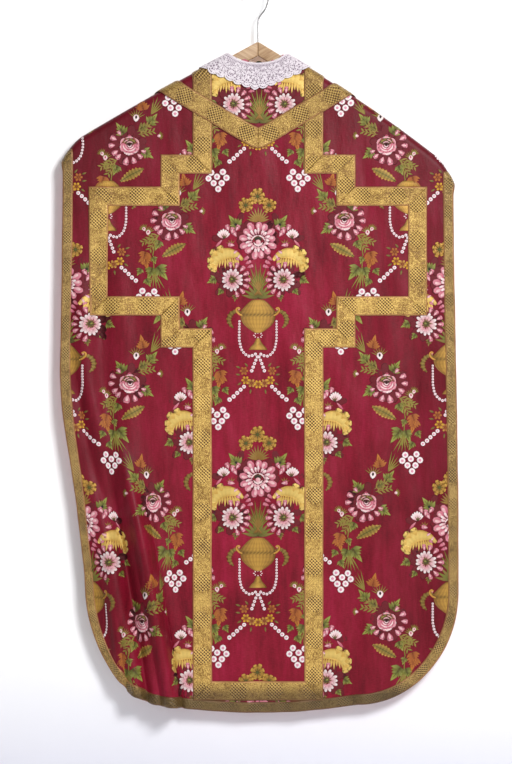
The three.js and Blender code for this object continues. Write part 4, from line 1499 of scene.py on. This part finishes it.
# %% Edges of the lace on the flat cloth
LACE_NECK = np.array(
    [(-55, -114), (-46, -121), (-32, -128), (-16, -132), (0, -133),
     (16, -132), (32, -128), (45, -121), (53, -114)], float,
)
LACE_RIM = np.array(
    [(-100, -137), (-88, -145), (-72, -153), (-54, -159), (-39, -167), (-22, -172), (-6, -177), (12, -174),
     (28, -168), (42, -161), (57, -155), (72, -149), (88, -137)], float,
)
SCALLOPS = 13


def along_path(path, share):
    reach = lengths_along(path)
    at = np.asarray(share) * reach[-1]
    return np.stack([np.interp(at, reach, path[:, k]) for k in (0, 1)], axis=-1)


def lace_place(share, depth):
    """A place on the lace: share runs along it from 0 to 1, depth from the neck, 0, to the rim, 1."""
    share, depth = np.broadcast_arrays(np.asarray(share, float), np.asarray(depth, float))
    scallop = 0.94 + 0.1 * np.abs(np.sin(math.pi * SCALLOPS * share)) ** 0.7
    inner, outer = along_path(LACE_NECK, share), along_path(LACE_RIM, share)
    return inner + (outer - inner) * (depth * scallop)[..., None]


# %% Muslin under the lace
MUSLIN_UNDER, MUSLIN_WIDE = UPPER_UNDER + 0.75, 40
share = np.linspace(0, 1, 261)
run = (lace_place(share, 0.02), lace_place(share, 0.97))
muslin = lay_braid("lace_muslin", [run], on_back, muslin_painted_shade, MUSLIN_WIDE, MUSLIN_UNDER, thick=0.5)
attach(muslin, "garment")

# %% The net, and the threads along it
MESHES, MESH_LEAN = 52, 0.085  # twisted threads that lean each way, and how far along each one gets
NET_TOP, NET_TALL = 0.03, 0.9
lace = Design()


def lace_thread(start, end, steps, wide, low=0.0):
    """A thread from one place on the lace to another, each named by its share and its depth."""
    t = np.linspace(0, 1, steps + 1)
    places = lace_place(start[0] + (end[0] - start[0]) * t, start[1] + (end[1] - start[1]) * t)
    for (x0, y0), (x1, y1) in zip(places[:-1], places[1:]):
        turn = math.degrees(math.atan2(y1 - y0, x1 - x0))
        long = math.hypot(x1 - x0, y1 - y0) * 1.15
        lace.put("bar", x0, y0, turn, long=long, wide=wide, low=low, high=0.5)


for k in range(MESHES):
    for lean in (-MESH_LEAN, MESH_LEAN):
        start = (k + 0.5) / MESHES
        end = min(max(start + lean, 0), 1)
        reach = (end - start) / lean
        lace_thread((start, NET_TOP), (end, NET_TOP + NET_TALL * reach), 5, 0.75)
for depth, wide in ((NET_TOP, 2.6), (0.8, 1.3), (0.9, 1.6)):
    lace_thread((0.0, depth), (1.0, depth), 90, wide, low=0.3)
print("net", len(lace.patches), "threads")

# %% Loops and fans along the rim, flowers, and leaves between them
for k in range(SCALLOPS * 8 + 1):
    lace.put("bead", *lace_place(k / (SCALLOPS * 8), 0.99), long=2.9, high=0.9)
for k in range(SCALLOPS):
    for petal in range(5):
        place = lace_place((k + 0.5) / SCALLOPS, 0.84)
        lace.put("petal", *place, 180 + 36 * (petal + 0.5), long=5.2, wide=2.4, low=0.35, high=0.6)
    lace.put("bead", *lace_place(k / SCALLOPS, 0.93), long=2.6, low=0.3, high=0.7)
for share, depth in ((0.14, 0.5), (0.32, 0.42), (0.5, 0.44), (0.68, 0.42), (0.86, 0.5)):
    x, y = lace_place(share, depth)
    lace.ring("heart", x, y, 9, 3.2, first=20, long=7.4, wide=4.8, low=0.35, high=0.7)
    lace.ring("bead", x, y, 6, 2.4, long=2.0, low=0.4, high=0.8)
    for turn in range(-165, 15, 30):
        lace.put("leaf", *onward(x, y, turn, 11), turn, long=7, wide=3.6, low=0.3, high=0.6)
for share in (0.05, 0.23, 0.41, 0.59, 0.77, 0.95):
    for depth in (0.15, 0.38, 0.6):
        for lean in (-38, 38):
            lace.put("leaf", *lace_place(share, depth), lean - 90, long=8.5, wide=3.8, low=0.3, high=0.6)
lace = lace.gathered()
x, y, rise = lace["points"].T
collar = new_piece(
    "lace_collar", on_back(x, y, UPPER_UNDER + 1.15 + 0.8 * rise), lace["faces"], lace_cotton
)
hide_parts("back_lace")
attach(collar, "garment")
print(collar.name, len(collar.data.polygons), "triangles")


# %% Lace and tape of the front neck, and the tape of the back neck
def neck_curve(grow, sign):
    """The front neck's line, drawn that much wider, from the point up to the shoulder."""
    half, point = NECK_HALF + grow, NECK_FRONT - 1.6 * grow
    x = np.linspace(0, half, 60)
    height = point + (NECK_HIGH - point) * (x / half) ** 1.3
    keep = height < shoulder_line(sign * x) - 2
    return np.stack([sign * x, height], axis=1)[keep]


def between(outer, inner, count=90):
    share = np.linspace(0, 1, count)
    return along_path(outer, share), along_path(inner, share)


LACE_STRIP, TAPE, TAPE_UNDER, TAPE_THICK = 30, 13, -0.95, 0.6
tapes = []


def sew_tape(name, node, run, hang, material, width, under, thick):
    made = lay_braid(name, [run], hang, material, width, under, thick=thick)
    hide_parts(node)
    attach(made, "garment")
    tapes.append((made, run))
    print(made.name, len(made.data.polygons), "faces")


for sign, word in SIGNS:
    for name, node, width, material, under, thick in (
        ("front_lace_strip_", "front_lace_", LACE_STRIP, lace_cotton, UPPER_UNDER + 0.4, 0.7),
        ("front_tape_", "front_neck_facing_", TAPE, tape_linen, TAPE_UNDER, TAPE_THICK),
    ):
        run = between(neck_curve(0.5, sign), neck_curve(width, sign))
        sew_tape(name + word, node + word, run, on_front, material, width, under, thick)
x = np.linspace(-NECK_HALF - 2, NECK_HALF + 2, 90)
sag = 19 * (x / NECK_HALF) ** 2
run = (np.stack([x, NECK_LOW - 1 + sag], axis=1), np.stack([x * 1.16, NECK_LOW - 14 + sag], axis=1))
sew_tape("back_tape", "back_neck_facing", run, on_back, tape_linen, TAPE, TAPE_UNDER, TAPE_THICK)

# %% [markdown]
# ## Hanger and hook
# The hanger is two beech arms that meet in a mitre. Each is a bar, turned to its slope, cut upright at
# the middle, rounded at its far end and eased along its edges. The hook is one drawn wire, so it is a
# curve with a round section.


# %% Beech and wire
def beech(name, slope):
    """Beech whose grain runs along an arm of that slope."""
    wood = Finish(name, roughness=0.5)
    place = wood.add("TexCoord").outputs["Object"]
    along = wood.add("Mapping", Vector=place, Rotation=(0, slope, 0)).outputs["Vector"]
    along = wood.add("Mapping", Vector=along, Scale=(6, 60, 90)).outputs["Vector"]
    grain = wood.noise(along, 3.2, 5.0, 0.65)
    flecks = wood.noise(wood.add("Mapping", Vector=along, Scale=(3, 12, 12)).outputs["Vector"], 2.0, 2.0)
    tone = wood.sum_of((grain, 0.7), (flecks, 0.3))
    dark, middle, pale = linear(146, 110, 76), linear(178, 145, 109), linear(194, 164, 129)
    wood.colour(wood.ramp(tone, (0.36, dark), (0.52, middle), (0.66, pale)))
    wood.bump(grain, 0.15, 0.0006)
    return wood.material


steel = Finish("bright wire", roughness=0.28, metallic=1.0)
draw = steel.noise(steel.object_place((300, 300, 40)), 2.0, 3.0)
steel.colour(steel.ramp(draw, (0.3, linear(120, 118, 118)), (0.7, linear(178, 176, 178))))
steel.bump(draw, 0.1, 0.0002)

# %% The two arms
APEX, REACH, BAR_TALL, BAR_HALF = -0.0952, 0.150, 0.024, 0.006
ARM_SLOPES = (0.54, 0.61)
OVERLAP = 0.02  # of a bar past the middle, until it is cut
END_ROUND, EASED = 0.0095, 0.0017
MITRE_GAP = 0.00015


def end_edges(mesh, sign, from_here):
    """The two edges that run across a bar at its far end."""
    corners = [mesh.vertices[v].co for edge in mesh.edges for v in edge.vertices]
    pairs = zip(mesh.edges, corners[::2], corners[1::2])
    return [e for e, a, b in pairs if min(sign * a.x, sign * b.x) > from_here and abs(a.y - b.y) > BAR_HALF]


for (sign, word), slope in zip(SIGNS, ARM_SLOPES):
    lean = math.atan(slope)
    long, deep = REACH / math.cos(lean), BAR_TALL * math.cos(lean)
    bpy.ops.object.select_all(action="DESELECT")
    bpy.ops.mesh.primitive_cube_add(size=1, location=(0, 0, 0))
    arm = bpy.context.object
    arm.name = f"beech_arm_{word}"
    bpy.ops.object.mode_set(mode="EDIT")
    bpy.ops.mesh.select_all(action="SELECT")
    bpy.ops.transform.resize(value=(long + OVERLAP, 2 * BAR_HALF, deep), center_override=(0, 0, 0))
    bpy.ops.transform.translate(value=(sign * (long - OVERLAP) / 2, 0, -deep / 2))
    bpy.ops.mesh.select_all(action="DESELECT")
    bpy.ops.mesh.select_mode(type="EDGE")
    bpy.ops.object.mode_set(mode="OBJECT")
    for edge in end_edges(arm.data, sign, 0.9 * long):
        edge.select = True
    bpy.ops.object.mode_set(mode="EDIT")
    bpy.ops.mesh.bevel(offset=END_ROUND, segments=8)
    bpy.ops.mesh.select_all(action="SELECT")
    bpy.ops.transform.rotate(value=-sign * lean, orient_axis="Y", center_override=(0, 0, 0))
    bpy.ops.transform.translate(value=(0, 0, APEX))
    bpy.ops.mesh.bisect(
        plane_co=(sign * MITRE_GAP, 0, 0), plane_no=(-sign, 0, 0), use_fill=True, clear_inner=False,
        clear_outer=True,
    )
    bpy.ops.object.mode_set(mode="OBJECT")
    apply_modifier(arm, "BEVEL", width=EASED, segments=3, limit_method="ANGLE", angle_limit=math.radians(40))
    arm.data.materials.append(beech("beech " + word, sign * lean))
    choose(arm)
    bpy.ops.object.shade_smooth_by_angle(angle=math.radians(35))
    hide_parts(f"hanger_arm_{word}")
    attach(arm, "hanger")
    corners = np.array([v.co for v in arm.data.vertices])
    print(arm.name, "from", corners.min(0).round(4), "to", corners.max(0).round(4))

# %% The hook
WIRE, BEND, BEND_Z = 0.0013, 0.0183, -0.017
SHANK = [
    (0, -0.1185), (0, -0.09), (0, -0.07), (0, -0.062), (0.0012, -0.0535), (0.007, -0.046), (0.014, -0.038),
]
bend = [(BEND * math.cos(a), BEND_Z + BEND * math.sin(a)) for a in np.linspace(-0.25, math.pi + 0.1, 26)]
route = SHANK + bend
line = bpy.data.curves.new("hook_wire", "CURVE")
line.dimensions = "3D"
line.bevel_depth = WIRE
line.bevel_resolution = 4
line.use_fill_caps = True
spline = line.splines.new("NURBS")
spline.points.add(len(route) - 1)
for point, (x, z) in zip(spline.points, route):
    point.co = (x, 0, z, 1)
spline.use_endpoint_u = True
spline.order_u = 4
spline.resolution_u = 5
hook = bpy.data.objects.new("hook_wire", line)
bpy.context.collection.objects.link(hook)
choose(hook)
bpy.ops.object.convert(target="MESH")
hook = bpy.context.object
hook.data.materials.append(steel.material)
bpy.ops.object.shade_smooth()
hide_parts("hook")
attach(hook, "hook")
for node, material in (("hook_nut", steel.material), ("hanger_tongue", bpy.data.materials["beech left"])):
    shown = bpy.data.objects[node]
    shown.data.materials.clear()
    shown.data.materials.append(material)
print(hook.name, len(hook.data.polygons), "faces")

# %% [markdown]
# ## Flat sizes of the cloth
# Each cloth's flat area and size, each tape's length and width, and the lace's size are worked out here, and
# not used further.

# %% Sheets
def flat_area(run):
    """The area between a strip's two edges."""
    loop = np.concatenate([run[0], run[1][::-1]])
    x, y = loop.T
    return abs(np.dot(x, np.roll(y, 1)) - np.dot(y, np.roll(x, 1))) / 2 * MM**2


for piece, area, (wide, tall), named in sheets:
    area = float(min(area, 0.999 * wide * tall))
for piece, run in tapes:
    area = flat_area(run)
    length = float(lengths_along(run[0])[-1] * MM)
    width = area / length
edges = (lace_place(np.linspace(0, 1, 200), 0.0), lace_place(np.linspace(0, 1, 200), 1.0))
size = np.ptp(np.concatenate(edges), axis=0) * MM
print(len(sheets) + len(tapes) + 1, "sheets declared")
